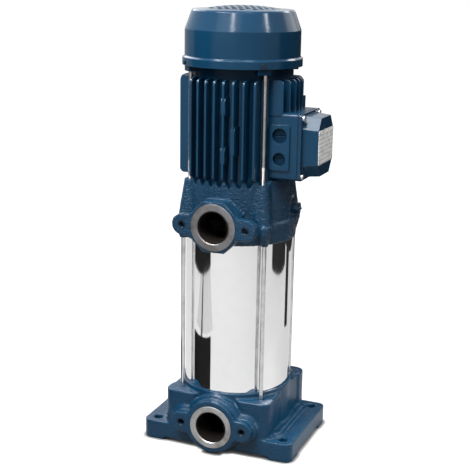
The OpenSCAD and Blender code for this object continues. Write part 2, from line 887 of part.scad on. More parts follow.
// V-shaped air notch through the front and back walls of the head
module air_notch() {
    half = fin_pitch / 2 - 1.4;
    translate([0, fin_env_r + over, tooth_top]) rotate([90, 0, 0]) linear_extrude(2 * (fin_env_r + over))
        polygon([[-half, over], [half, over], [half, 0], [1, -notch_depth], [-1, -notch_depth], [-half, 0]]);
}

// Hollow of the head: jacket seat, discharge chamber, seal bore, lantern, bearing seat, motor socket
module head_cavity() {
    chamber_in = chamber_r - 1;
    rotate_extrude() polygon(concat(
        [[0, head_z - over], [jacket_r + jacket_fit, head_z - over], [jacket_r + jacket_fit, shoulder_z],
         [chamber_in, shoulder_z], [chamber_in, ceiling_z - 6]],
        arc([chamber_in - 6, ceiling_z - 6], 6, 0, 90),
        [[seal_boss_r, ceiling_z], [seal_boss_r, seal_seat_z], [seal_bore_r, seal_seat_z],
         [seal_bore_r, ceiling_z], [shaft_r + 1, ceiling_z], [shaft_r + 1, ceiling_z + ceiling_t],
         [0, ceiling_z + ceiling_t]]
    ));
    seal_groove(head_z + head_seat / 2);
    lantern_z = ceiling_z + ceiling_t;
    rotate_extrude() polygon([
        [0, lantern_z - over / 2], [seal_boss_r, lantern_z], [seal_boss_r, drive_bearing_z - 3],
        [drive_bearing[0] - 3, drive_bearing_z - 3], [drive_bearing[0] - 3, drive_bearing_z],
        [drive_bearing[0] + fit, drive_bearing_z], [drive_bearing[0] + fit, drive_bearing_z + drive_bearing[2]],
        [drive_bearing[0] + bearing_hub_t, drive_bearing_z + drive_bearing[2]],
        [drive_bearing[0] + bearing_hub_t, frame_z], [frame_r + fit, frame_z],
        [frame_r + fit, tooth_top + over], [0, tooth_top + over]
    ]);
}

module priming_plug() color(brass) {
    to_right(prime_x, prime_z) translate([prime_y, 0, 0]) {
        screw_plug(prime_x - chamber_r);
        translate([0, 0, plug_washer_t + plug_head_h]) cylinder(r1 = 3, r2 = 1, h = 3);
    }
}

module priming_plug_washer() color(copper) {
    to_right(prime_x, prime_z) translate([prime_y, 0, 0]) plug_washer();
}

module seal_seat() color([0.5, 0.5, 0.52]) {
    difference() {
        tube(seat_r - fit, sleeve_r - 2, seal_seat_z, seat_h);
        translate([0, 0, seal_seat_z + seat_h / 2]) seal_seat_torus(fit);
    }
}

// Ring section shared by the seal seat's groove and the ring in it
module seal_seat_torus(grow) {
    rotate_extrude() translate([seat_r - 1, 0]) circle(r = 1 + grow, $fn = 32);
}

module seal_seat_ring() color(rubber) {
    translate([0, 0, seal_seat_z + seat_h / 2]) seal_seat_torus(0);
}

module seal_head() color([0.16, 0.16, 0.17]) {
    tube(seal_head_r, shaft_r + fit, seal_head_z, seal_head_h);
}

// Helical spring as a swept round wire with closed ends
module coil_spring(r, wire_r, h, turns) {
    steps = turns * 20;
    sides = 8;
    rings = [for (i = [0:steps]) let (a = 360 * turns * i / steps, z = wire_r + (h - 2 * wire_r) * i / steps)
        for (k = [0:sides - 1]) let (b = 360 * k / sides)
            [(r + wire_r * cos(b)) * cos(a), (r + wire_r * cos(b)) * sin(a), z + wire_r * sin(b)]];
    walls = [for (i = [0:steps - 1], k = [0:sides - 1]) let (n = (k + 1) % sides)
        [i * sides + k, (i + 1) * sides + k, (i + 1) * sides + n, i * sides + n]];
    ends = [[for (k = [0:sides - 1]) k], [for (k = [sides - 1:-1:0]) steps * sides + k]];
    polyhedron(rings, concat(walls, ends));
}

module seal_spring() color(polished) {
    translate([0, 0, collar_top]) coil_spring(shaft_r + 2, spring_wire / 2, spring_h, spring_turns);
}

module water_slinger() color(rubber) {
    z = ceiling_z + ceiling_t + 1.5;
    tube(shaft_r + 3, shaft_r + fit, z, 3);
    tube(seal_boss_r - 5, shaft_r + fit, z, 1.5);
}

// Cooling fin in elevation, rounded at its two outer corners
module fin_profile(reach, h) {
    square([reach - fin_corner, h]);
    translate([0, fin_corner]) square([reach, h - 2 * fin_corner]);
    for (y = [fin_corner, h - fin_corner]) translate([reach - fin_corner, y]) circle(r = fin_corner);
}

// Fin of thickness t beside the front centre line, from z up by h
module fin(offset_x, t, z, h) {
    root = fin_root(offset_x, t);
    translate([offset_x + t / 2, -root, z]) rotate([90, 0, -90])
        linear_extrude(t) fin_profile(fin_reach(offset_x) - root, h);
}

// Motor frame: barrel, fins on all four sides and the terminal box's body
module motor_frame() color(paint) {
    fin_z = pillar_top + fin_start;
    fin_h = frame_top - fin_z;
    box_top = box_z + box_h / 2;
    difference() {
        union() {
            translate([0, 0, frame_z]) cylinder(r = frame_r, h = frame_h);
            for (turn = [0, 180]) rotate([0, 0, turn]) {
                for (i = [-3.5:3.5]) fin(i * fin_pitch, fin_t, fin_z, fin_h);
                for (pad = fin_pads) fin(pad[0] * fin_pitch, fin_t + fin_pad_grow, pillar_top + pad[1], pad[2]);
            }
            for (i = [-3:3]) rotate([0, 0, 270]) fin(i * fin_pitch, fin_t, fin_z, fin_h);
            for (i = [-3:3]) rotate([0, 0, 90]) fin(i * fin_pitch, fin_t, box_top - box_wall, frame_top - box_top + box_wall);
            translate([earth_boss_x, earth_boss_y, pillar_top + earth_boss_rise]) cylinder(r = earth_boss_r, h = earth_boss_h);
            to_right(frame_r / 2, box_z) linear_extrude(box_joint_x - frame_r / 2) rounded(box_w, box_h, box_corner);
            to_front(-box_w / 2, entry_pad_z) translate([entry_x, 0, -box_wall / 2])
                linear_extrude(entry_pad_t + box_wall / 2) rounded(entry_pad_w, entry_pad_h, 3);
        }
        translate([0, 0, frame_z - over]) cylinder(r = core_r + fit, h = frame_h + 2 * over);
        box_cavity();
        to_right(0, box_z) cylinder(r = 9, h = box_floor_x + over);
        for (entry = [[large_entry_d, large_entry_z], [small_entry_d, small_entry_z]])
            to_front(-box_w / 2 + box_wall + over, entry[1]) translate([entry_x, 0, 0])
                cylinder(d = entry[0], h = entry_hole_l);
    }
}

// Inside of the terminal box with its four screw bosses left standing
module box_cavity() {
    difference() {
        to_right(box_floor_x, box_z) linear_extrude(box_joint_x)
            rounded(box_w - 2 * box_wall, box_h - 2 * box_wall, box_corner - 1);
        for (y = [-1, 1], z = [-1, 1]) to_right(0, box_z) translate([y * lid_screw_y, z * lid_screw_z, 0])
            cylinder(r = screw_boss_r, h = box_joint_x);
    }
    lid_screw_holes(box_joint_x - 12, lid_screw_r + fit, 20);
}

// Round holes for the four lid screws
module lid_screw_holes(x, r, h) {
    for (y = [-1, 1], z = [-1, 1])
        to_right(x, box_z) translate([y * lid_screw_y, z * lid_screw_z, 0]) cylinder(r = r, h = h);
}

module stator_core() color(lamination) {
    translate([0, 0, core_z]) linear_extrude(core_h) difference() {
        circle(r = core_r);
        circle(r = bore_r);
        for (i = [0:slots - 1]) rotate(i * 360 / slots) translate([bore_r - 1, 0]) slot_outline(0);
    }
}

// Slot from the stator bore outwards, with a rounded bottom
module slot_outline(shrink) {
    translate([0, -slot_w / 2 + shrink]) square([slot_depth, slot_w - 2 * shrink]);
    translate([slot_depth, 0]) circle(r = slot_w / 2 - shrink);
}

// Windings: two end turns joined by one bar in each slot
module stator_windings() color(copper) {
    mid_r = bore_r + slot_depth / 2 + 2;
    for (z = [core_z - turn_h, core_z + core_h])
        translate([0, 0, z]) rotate_extrude() translate([mid_r, turn_h / 2]) rounded(slot_depth + 4, turn_h, 4);
    for (i = [0:slots - 1])
        rotate([0, 0, i * 360 / slots]) translate([0, 0, core_z - turn_h / 2]) linear_extrude(core_h + turn_h)
            translate([bore_r + 1, 0]) intersection() {
                translate([-2, 0]) slot_outline(fit);
                translate([0, -slot_w]) square([2 * slot_depth, 2 * slot_w]);
            }
}

module rotor_core() color(lamination) {
    tube(rotor_r, rotor_shaft_r + fit, core_z, core_h);
}

module rotor_end_rings() color(polished) {
    for (z = [core_z - end_ring_h, core_z + core_h]) tube(rotor_r - 1, rotor_r - 12, z, end_ring_h);
    for (z = [core_z - end_ring_h, core_z + core_h]) tube(rotor_r - 11, rotor_shaft_r + fit, z, end_ring_h);
}

// Rear shield with its bearing seat and four ears that take the motor rods and cover screws
module rear_shield() color(paint) {
    difference() {
        union() {
            translate([0, 0, frame_top]) cylinder(r = shield_r, h = shield_h);
            translate([0, 0, frame_top - 6]) cylinder(r = core_r - fit, h = 6 + over);
            for (a = [45:90:315]) rotate([0, 0, a - screw_turn / 2]) ear();
            translate([0, 0, fan_bearing_z - 2]) cylinder(r = fan_bearing[0] + bearing_hub_t, h = shield_top - fan_bearing_z + 2);
        }
        translate([0, 0, frame_top - 6 - over]) difference() {
            cylinder(r = core_r - 6, h = shield_h);
            translate([0, 0, -over]) cylinder(r = fan_bearing[0] + bearing_hub_t, h = shield_h + 2 * over);
        }
        translate([0, 0, fan_bearing_z - 20]) cylinder(r = fan_bearing[0] + fit, h = 20 + fan_bearing[2] + wave_washer_t);
        translate([0, 0, frame_top]) cylinder(r = fan_bearing[1] + 1, h = shield_h * 2);
        four(motor_rod_pitch) translate([0, 0, frame_top]) cylinder(d = motor_rod_d + 2 * fit, h = shield_h * 2);
        for (a = [45:90:315]) rotate([0, 0, a - screw_turn]) to_right(shield_r, screw_z) cylinder(r = cover_screw_r + fit, h = 20);
    }
}

// One ear of the rear shield, trimmed to fit inside the cover's lip
module ear() {
    intersection() {
        translate([shield_r - 10, -ear_w / 2, shield_top - ear_low]) cube([20, ear_w, ear_top - shield_top + ear_low]);
        translate([0, 0, frame_top]) cylinder(r = ear_out_r, h = shield_h * 2);
    }
}

module motor_rods() color(zinc) {
    low = pillar_top - motor_rod_thread;
    four(motor_rod_pitch) translate([0, 0, low]) cylinder(d = motor_rod_d, h = ear_top + motor_nut_h + rod_proud - low);
}

module motor_rod_nuts() color(zinc) {
    for (a = [45:90:315]) rotate([0, 0, a]) translate([motor_rod_pitch / sqrt(2), 0, ear_top]) rotate([0, 0, 30])
        nut(motor_nut_af, motor_rod_d / 2 + fit, motor_nut_h);
}

// Outer ring of a ball bearing with its ball groove
module outer_ring(b, z) {
    difference() {
        tube(b[0], b[3] + 0.7 * b[4], z, b[2]);
        translate([0, 0, z + b[2] / 2]) rotate_extrude() translate([b[3], 0]) circle(r = b[4] + ball_play);
    }
}

// Inner ring of a ball bearing with its ball groove
module inner_ring(b, z) {
    difference() {
        tube(b[3] - 0.7 * b[4], b[1] + fit, z, b[2]);
        translate([0, 0, z + b[2] / 2]) rotate_extrude() translate([b[3], 0]) circle(r = b[4] + ball_play);
    }
}

// Balls of a bearing
module ball_set(b, z) {
    for (i = [0:balls - 1])
        rotate([0, 0, i * 360 / balls]) translate([b[3], 0, z + b[2] / 2]) sphere(r = b[4]);
}

// Cage of a bearing with a round pocket for each ball
module cage(b, z) {
    difference() {
        tube(b[3] + 0.3 * b[4], b[3] - 0.3 * b[4], z + b[2] / 2 - b[4] * 1.15, b[4] * 2.3);
        for (i = [0:balls - 1])
            rotate([0, 0, i * 360 / balls]) translate([b[3], 0, z + b[2] / 2]) sphere(r = b[4] + ball_play);
    }
}

module drive_bearing_outer_ring() color(polished) outer_ring(drive_bearing, drive_bearing_z);
module drive_bearing_inner_ring() color(polished) inner_ring(drive_bearing, drive_bearing_z);
module drive_bearing_balls() color(polished) ball_set(drive_bearing, drive_bearing_z);
module drive_bearing_cage() color(brass) cage(drive_bearing, drive_bearing_z);
module fan_bearing_outer_ring() color(polished) outer_ring(fan_bearing, fan_bearing_z);
module fan_bearing_inner_ring() color(polished) inner_ring(fan_bearing, fan_bearing_z);
module fan_bearing_balls() color(polished) ball_set(fan_bearing, fan_bearing_z);
module fan_bearing_cage() color(brass) cage(fan_bearing, fan_bearing_z);

module drive_bearing_clip() color(zinc) {
    retaining_clip(drive_bearing_z - clip_t, drive_bearing[1], clip_t);
}

module preload_washer() color(zinc) {
    tube(fan_bearing[0] - 1, fan_bearing[0] - 4, fan_bearing_z + fan_bearing[2], wave_washer_t);
}

// Cooling fan: hub, back disc and straight radial blades
module fan() color(resin) {
    difference() {
        union() {
            translate([0, 0, fan_z]) cylinder(r = fan_hub_r, h = fan_hub_h);
            translate([0, 0, fan_z]) cylinder(r = fan_r - fan_disc_inset, h = fan_disc_t);
            for (i = [0:fan_blades - 1])
                rotate([0, 0, i * 360 / fan_blades]) translate([fan_hub_r - 2, -fan_blade_t / 2, fan_z])
                    cube([fan_r - fan_hub_r + 2, fan_blade_t, fan_blade_h]);
        }
        translate([0, 0, fan_z - over]) cylinder(r = fan_shaft_r + fit, h = fan_blade_h + 2 * over);
        translate([0, 0, fan_z + fan_hub_h]) cylinder(r = fan_hub_r, h = fan_blade_h);
    }
}

module fan_clip() color(zinc) {
    retaining_clip(fan_z + fan_hub_h, fan_shaft_r, fan_clip_h);
}

// Fan cover: lip over the rear shield, barrel, cone, flat ring and domed grille
module fan_cover() color(paint) {
    shoulder = cover_z + cover_barrel_h;
    step_z = cover_z + lip_h;
    dome = [for (i = [8:-1:0]) [grille_r * i / 8, cover_top + dome_z(grille_r, grille_rise, grille_r * i / 8)]];
    dome_in = [for (i = [0:8]) [grille_r * i / 8, cover_top - cover_wall + dome_z(grille_r, grille_rise, grille_r * i / 8)]];
    difference() {
        rotate_extrude() polygon(concat(
            [[lip_r - cover_wall, cover_z], [lip_r, cover_z], [lip_r, step_z - 1], [cover_r, step_z + 1],
             [cover_r, shoulder], [cover_top_r + 2, cover_top - 2], [cover_top_r, cover_top]],
            dome, dome_in,
            [[cover_top_r - cover_wall, cover_top - cover_wall], [cover_top_r + 2 - cover_wall, cover_top - 3],
             [cover_r - cover_wall, shoulder - 1], [cover_r - cover_wall, step_z - 1],
             [lip_r - cover_wall, step_z - 3]]
        ));
        grille_holes();
        for (a = [45:90:315]) rotate([0, 0, a - screw_turn]) to_right(cover_r / 2, screw_z)
            cylinder(r = cover_screw_r + free, h = lip_r);
    }
}

// Staggered rows of round holes through the dome
module grille_holes() {
    rows = floor(grille_r / grille_pitch) + 1;
    row_step = grille_pitch * sqrt(3) / 2;
    for (row = [-rows:rows], col = [-rows:rows]) {
        x = (col + (row % 2 == 0 ? 0 : 0.5)) * grille_pitch;
        y = row * row_step;
        if (norm([x, y]) < grille_r - grille_hole_d)
            translate([x, y, cover_top - 2 * cover_wall]) cylinder(d = grille_hole_d, h = 2 * grille_rise + 2 * cover_wall);
    }
}

module fan_cover_screws() color(zinc) {
    for (a = [45:90:315]) rotate([0, 0, a - screw_turn]) to_right(0, screw_z) {
        translate([0, 0, lip_r - 5]) cylinder(r = cover_screw_r, h = 5);
        translate([0, 0, lip_r]) cylinder(r = cover_screw_head_r, h = 1.6);
    }
}

// Eight-sided outline of the lid's hood
module hood_outline(shrink) {
    w = hood_w / 2 - shrink;
    l = hood_l / 2 - shrink;
    polygon([
        [w - hood_cut_w, l], [w, l - hood_cut_l], [w, hood_cut_l - l], [w - hood_cut_w, -l],
        [hood_cut_w - w, -l], [-w, hood_cut_l - l], [-w, l - hood_cut_l], [hood_cut_w - w, l]
    ]);
}

module terminal_box_lid() color(paint) {
    base = 1 / hood_draft;
    difference() {
        union() {
            to_right(lid_x, box_z) linear_extrude(lid_flange_t) rounded(box_w, box_h, box_corner);
            to_right(lid_x, box_z) linear_extrude(lid_flange_t + hood_h, scale = hood_draft)
                scale([base, base]) hood_outline(0);
        }
        to_right(lid_x - over, box_z) linear_extrude(lid_flange_t + hood_h + over - lid_wall, scale = hood_draft)
            scale([base, base]) hood_outline(lid_wall);
        lid_screw_holes(lid_x - over, lid_screw_r + free, lid_hole_l);
    }
}

module terminal_box_gasket() color(rubber) {
    difference() {
        to_right(box_joint_x, box_z) linear_extrude(gasket_t) difference() {
            rounded(box_w - 1, box_h - 1, box_corner);
            rounded(box_w - 2 * gasket_band, box_h - 2 * gasket_band, box_corner);
        }
        lid_screw_holes(box_joint_x - over, lid_screw_r + free, lid_hole_l);
    }
}

module lid_screws() color(zinc) {
    head_x = lid_x + lid_flange_t;
    difference() {
        union() {
            lid_screw_holes(head_x - 14, lid_screw_r, 14);
            lid_screw_holes(head_x, lid_screw_head_r, lid_screw_head_h);
        }
        for (y = [-1, 1], z = [-1, 1]) to_right(head_x + 1.2, box_z) translate([y * lid_screw_y, z * lid_screw_z, 0])
            linear_extrude(lid_screw_head_h) {
                square([4.4, 1], center = true);
                square([1, 4.4], center = true);
            }
    }
}

// Terminal board on four feet at the floor of the box
module terminal_board() color(resin) {
    to_right(box_floor_x, box_z) {
        translate([0, 0, standoff]) linear_extrude(board_t) rounded(board_w, board_h, 3);
        for (y = [-1, 1], z = [-1, 1]) translate([y * (board_w / 2 - 4), z * (board_h / 2 - 4), 0])
            cylinder(r = 3, h = standoff + 1);
    }
}

module terminal_studs() color(brass) {
    x = box_floor_x + standoff + board_t;
    for (row = [-1, 1], col = [-1:1]) to_right(x, box_z) translate([row * 9, col * 12, 0]) {
        cylinder(r = stud_r, h = 9);
        hexagon(7, 3);
    }
}

// Blanking plug sunk into a cable entry, with a coin slot
module cable_plug(d, z) {
    depth = box_w / 2 + entry_pad_t - plug_sink;
    difference() {
        to_front(-depth + plug_depth, z) translate([entry_x, 0, 0]) cylinder(d = d - 2 * fit, h = plug_depth);
        to_front(-depth + plug_slot_depth, z) translate([entry_x, 0, 0])
            linear_extrude(plug_depth) square([d * 0.6, plug_slot_w], center = true);
    }
}

module large_cable_plug() color(paint) cable_plug(large_entry_d, large_entry_z);
module small_cable_plug() color(paint) cable_plug(small_entry_d, small_entry_z);

module nameplate() color(polished) {
    difference() {
        to_right(lid_end_x, box_z) linear_extrude(nameplate_t) rounded(plate_gap_w, plate_gap_h, 1.5);
        rivet_spots() cylinder(r = rivet_r / 2 + fit, h = 5 * nameplate_t, center = true);
    }
}

// Children at the nameplate's four corners
module rivet_spots() {
    for (y = [-1, 1], z = [-1, 1])
        to_right(lid_end_x, box_z) translate([y * (plate_gap_w / 2 - 3), z * (plate_gap_h / 2 - 3), 0]) children();
}

module nameplate_rivets() color(zinc) {
    rivet_spots() {
        cylinder(r = rivet_r / 2, h = nameplate_t);
        translate([0, 0, nameplate_t]) cylinder(r = rivet_r, h = 0.6);
    }
}

base_casting();
drain_plug();
drain_plug_washer();
outer_jacket();
jacket_seals();
tie_rods();
tie_rod_nuts();
tie_rod_washers();
inlet_guide();
lower_bearing_bush();
stage_casings();
diffusers();
wear_rings();
stack_collar();
head_casting();
priming_plug();
priming_plug_washer();
seal_seat();
seal_seat_ring();
motor_frame();
stator_core();
stator_windings();
rear_shield();
motor_rods();
motor_rod_nuts();
drive_bearing_outer_ring();
fan_bearing_outer_ring();
preload_washer();
fan_cover();
fan_cover_screws();
terminal_box_lid();
terminal_box_gasket();
lid_screws();
terminal_board();
terminal_studs();
large_cable_plug();
small_cable_plug();
nameplate();
nameplate_rivets();
shaft();
impellers();
shaft_sleeves();
impeller_nut();
impeller_washer();
seal_head();
seal_spring();
water_slinger();
rotor_core();
rotor_end_rings();
drive_bearing_inner_ring();
fan_bearing_inner_ring();
drive_bearing_clip();
fan();
fan_clip();
drive_bearing_cage();
drive_bearing_balls();
fan_bearing_cage();
fan_bearing_balls();
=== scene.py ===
"""Looks of a vertical multistage pump, built round its packed construction model.

Lengths are metres in the model's own frame: the shaft axis is Z, the floor is z = 0, both ports
face -Y and the terminal box is on +X. Sizes written as N * MM are millimetres.
"""

import logging
import math
from dataclasses import dataclass
from enum import Enum

import bmesh
import bpy
import numpy as np
from mathutils import Matrix, Vector

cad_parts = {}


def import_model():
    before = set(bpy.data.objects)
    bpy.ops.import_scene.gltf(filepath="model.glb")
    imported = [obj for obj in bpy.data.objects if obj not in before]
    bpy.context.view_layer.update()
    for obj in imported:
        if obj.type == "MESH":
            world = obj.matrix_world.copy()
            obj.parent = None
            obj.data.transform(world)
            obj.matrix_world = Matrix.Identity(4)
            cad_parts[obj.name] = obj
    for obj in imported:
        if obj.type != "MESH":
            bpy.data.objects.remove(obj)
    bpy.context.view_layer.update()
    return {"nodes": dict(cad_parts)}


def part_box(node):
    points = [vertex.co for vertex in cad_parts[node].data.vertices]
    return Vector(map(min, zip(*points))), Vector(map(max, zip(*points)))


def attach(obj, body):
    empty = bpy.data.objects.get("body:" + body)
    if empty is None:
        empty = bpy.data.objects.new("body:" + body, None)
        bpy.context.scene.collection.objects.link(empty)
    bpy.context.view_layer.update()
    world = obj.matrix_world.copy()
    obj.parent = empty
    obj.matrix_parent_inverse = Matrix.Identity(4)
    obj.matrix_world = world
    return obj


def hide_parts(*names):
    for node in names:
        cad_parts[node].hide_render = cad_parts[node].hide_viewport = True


MM = 0.001
BODY = "pump"
LOG = logging.getLogger("pump")

Vec3 = tuple[float, float, float]
Colour = tuple[float, float, float]
Socket = bpy.types.NodeSocket
Value = Socket | float

# Heights of the two port axes, and the radii of the ports' bores and of the chambers behind them.
SUCTION_HEIGHT = 38.8 * MM
DISCHARGE_HEIGHT = 310.6 * MM
BORE_RADIUS = 22.0 * MM
CHAMBER_RADIUS = 69.5 * MM
# Share of the chamber's radius from which the bore counts, towards the port.
BORE_START = 0.8
# Near-black bare iron with no shine inside the castings' chambers and bores: painted shade.
SHADED_BARE_IRON: Colour = (0.012, 0.01, 0.009)

# Noise values between which the roughness, the enamel's tone and the metal's stains change.
NOISE_SPAN = (0.25, 0.75)
TONE_SPAN = (0.3, 0.68)
STAIN_SPAN = (0.42, 0.72)
# Cells a metre of the enamel's slow drift and orange peel, and of the metal's blotches.
DRIFT_SCALE = 14.0
PEEL_SCALE = 900.0
BLOTCH_SCALE = 60.0
# Share of the casting skin in the enamel's tone; how far its roughness falls and rises.
SKIN_SHARE = 0.45
ROUGHNESS_SPREAD = (0.06, 0.08)
# Lowest and highest share of a metal's mean roughness.
METAL_SPREAD = (0.75, 1.3)
BEVEL_SAMPLES = 6

# Edges sharper than this, in degrees, stay sharp in smooth shading.
SHARP_ANGLE = 32.0
# Share by which a thread's triangle wave reaches past its crest and its root, where it is cut off.
THREAD_FLAT = 0.15
# Distance below which two points count as one.
DOUBLES = 1e-6
SENSOR_WIDTH = 36.0
# Azimuth of the photograph in degrees, from which the dark panels are placed.
PHOTO_AZIMUTH = 21.7


class Turn(Enum):
    """The way that a round piece's own axis points in the model."""

    UP = "up"
    FRONT = "front"


def turned(points: np.ndarray, turn: Turn, origin: Vec3) -> np.ndarray:
    """Turns points from a piece's own frame, where its axis is Z, to the model's frame.

    Args:
        points: Array of shape (..., 3) with the piece's axis along Z.
        turn: The way that the axis points in the model.
        origin: Where the piece's own origin lies in the model.

    Returns:
        The same array in the model's frame.
    """
    x, y, z = points[..., 0], points[..., 1], points[..., 2]
    moved = np.stack([x, -z, y] if turn is Turn.FRONT else [x, y, z], axis=-1)
    return moved + np.asarray(origin)


def arc(
    centre: tuple[float, float], radius: float, start: float, end: float, count: int
) -> np.ndarray:
    """Points of an arc, centre + radius * (cos a, sin a) for a from start to end in degrees.

    Args:
        centre: Centre in the profile's plane.
        radius: Radius in metres.
        start: First angle in degrees.
        end: Last angle in degrees.
        count: Number of steps along the arc.

    Returns:
        Array of shape (count + 1, 2).
    """
    angle = np.radians(np.linspace(start, end, count + 1))
    return np.asarray(centre) + radius * np.stack([np.cos(angle), np.sin(angle)], axis=-1)


def placed(name: str, data: bpy.types.ID) -> bpy.types.Object:
    """Makes an object and links it to the scene.

    Args:
        name: The object's name.
        data: Its mesh, lamp or camera.

    Returns:
        The new object at the origin.
    """
    thing = bpy.data.objects.new(name, data)
    bpy.context.scene.collection.objects.link(thing)
    return thing


def mesh_from_grid(name: str, grid: np.ndarray) -> bpy.types.Object:
    """Makes a mesh of quads from a grid of points that joins up both ways, with foreach_set.

    Args:
        name: The piece's name.
        grid: Array of shape (rows, columns, 3). Faces point along d(column) x d(row).

    Returns:
        A new object at the origin, linked to the scene.
    """
    rows, columns = grid.shape[:2]
    i, j = np.arange(rows)[:, None], np.arange(columns)[None, :]
    here, there = i * columns, ((i + 1) % rows) * columns
    nxt = (j + 1) % columns
    quads = np.stack([here + j, here + nxt, there + nxt, there + j], axis=-1).reshape(-1, 4)
    mesh = bpy.data.meshes.new(name)
    mesh.vertices.add(rows * columns)
    mesh.vertices.foreach_set("co", grid.reshape(-1).astype(np.float32))
    mesh.loops.add(quads.size)
    mesh.loops.foreach_set("vertex_index", quads.reshape(-1).astype(np.int32))
    mesh.polygons.add(len(quads))
    mesh.polygons.foreach_set("loop_start", np.arange(0, quads.size, 4, dtype=np.int32))
    mesh.update(calc_edges=True)
    mesh.validate()
    return placed(name, mesh)


def wound(radius: np.ndarray, angle: np.ndarray, height: np.ndarray) -> np.ndarray:
    """Points round the Z axis: x = radius * cos(angle), y = radius * sin(angle), z = height.

    Args:
        radius: Radii, of a shape that fits the others.
        angle: Angles in radians.
        height: Heights.

    Returns:
        Array of the common shape with 3 coordinates added.
    """
    parts = np.broadcast_arrays(radius * np.cos(angle), radius * np.sin(angle), height)
    return np.stack(parts, axis=-1)


def revolved(
    name: str, profile: np.ndarray, turn: Turn, origin: Vec3, steps: int
) -> bpy.types.Object:
    """Turns a closed profile of (radius, height) about an axis.

    Args:
        name: The piece's name.
        profile: Closed outline, array of shape (n, 2), anticlockwise with the radius to the right.
        turn: The way that the axis points.
        origin: The axis's origin in the model.
        steps: Number of steps round the axis.

    Returns:
        A closed ring.
    """
    angle = np.linspace(0, 2 * np.pi, steps, endpoint=False)[:, None]
    grid = wound(profile[None, :, 0], angle, profile[None, :, 1])
    return point_outwards(mesh_from_grid(name, turned(grid[:, ::-1], turn, origin)))


def point_outwards(piece: bpy.types.Object) -> bpy.types.Object:
    """Merges a piece's doubles and turns its faces outwards.

    Args:
        piece: A mesh object.

    Returns:
        The same object.
    """
    work = bmesh.new()
    work.from_mesh(piece.data)
    bmesh.ops.remove_doubles(work, verts=work.verts, dist=DOUBLES)
    bmesh.ops.recalc_face_normals(work, faces=work.faces)
    work.to_mesh(piece.data)
    work.free()
    return piece


def read_points(piece: bpy.types.Object) -> np.ndarray:
    """Reads a piece's vertices.

    Args:
        piece: A mesh object.

    Returns:
        Array of shape (vertices, 3).
    """
    points = np.empty(len(piece.data.vertices) * 3, dtype=np.float32)
    piece.data.vertices.foreach_get("co", points)
    return points.reshape(-1, 3).astype(float)


def write_points(piece: bpy.types.Object, points: np.ndarray) -> None:
    """Moves a piece's vertices.

    Args:
        piece: A mesh object.
        points: Array of shape (vertices, 3).
    """
    piece.data.vertices.foreach_set("co", points.reshape(-1).astype(np.float32))
    piece.data.update()


def joined(name: str, parts: list[bpy.types.Object]) -> bpy.types.Object:
    """Joins several meshes into one piece.

    Args:
        name: The name of the joined piece.
        parts: Mesh objects, which are used up.

    Returns:
        One object at the origin.
    """
    work = bmesh.new()
    for part in parts:
        work.from_mesh(part.data)
    mesh = bpy.data.meshes.new(name)
    work.to_mesh(mesh)
    work.free()
    for part in parts:
        bpy.data.objects.remove(part)
    return placed(name, mesh)


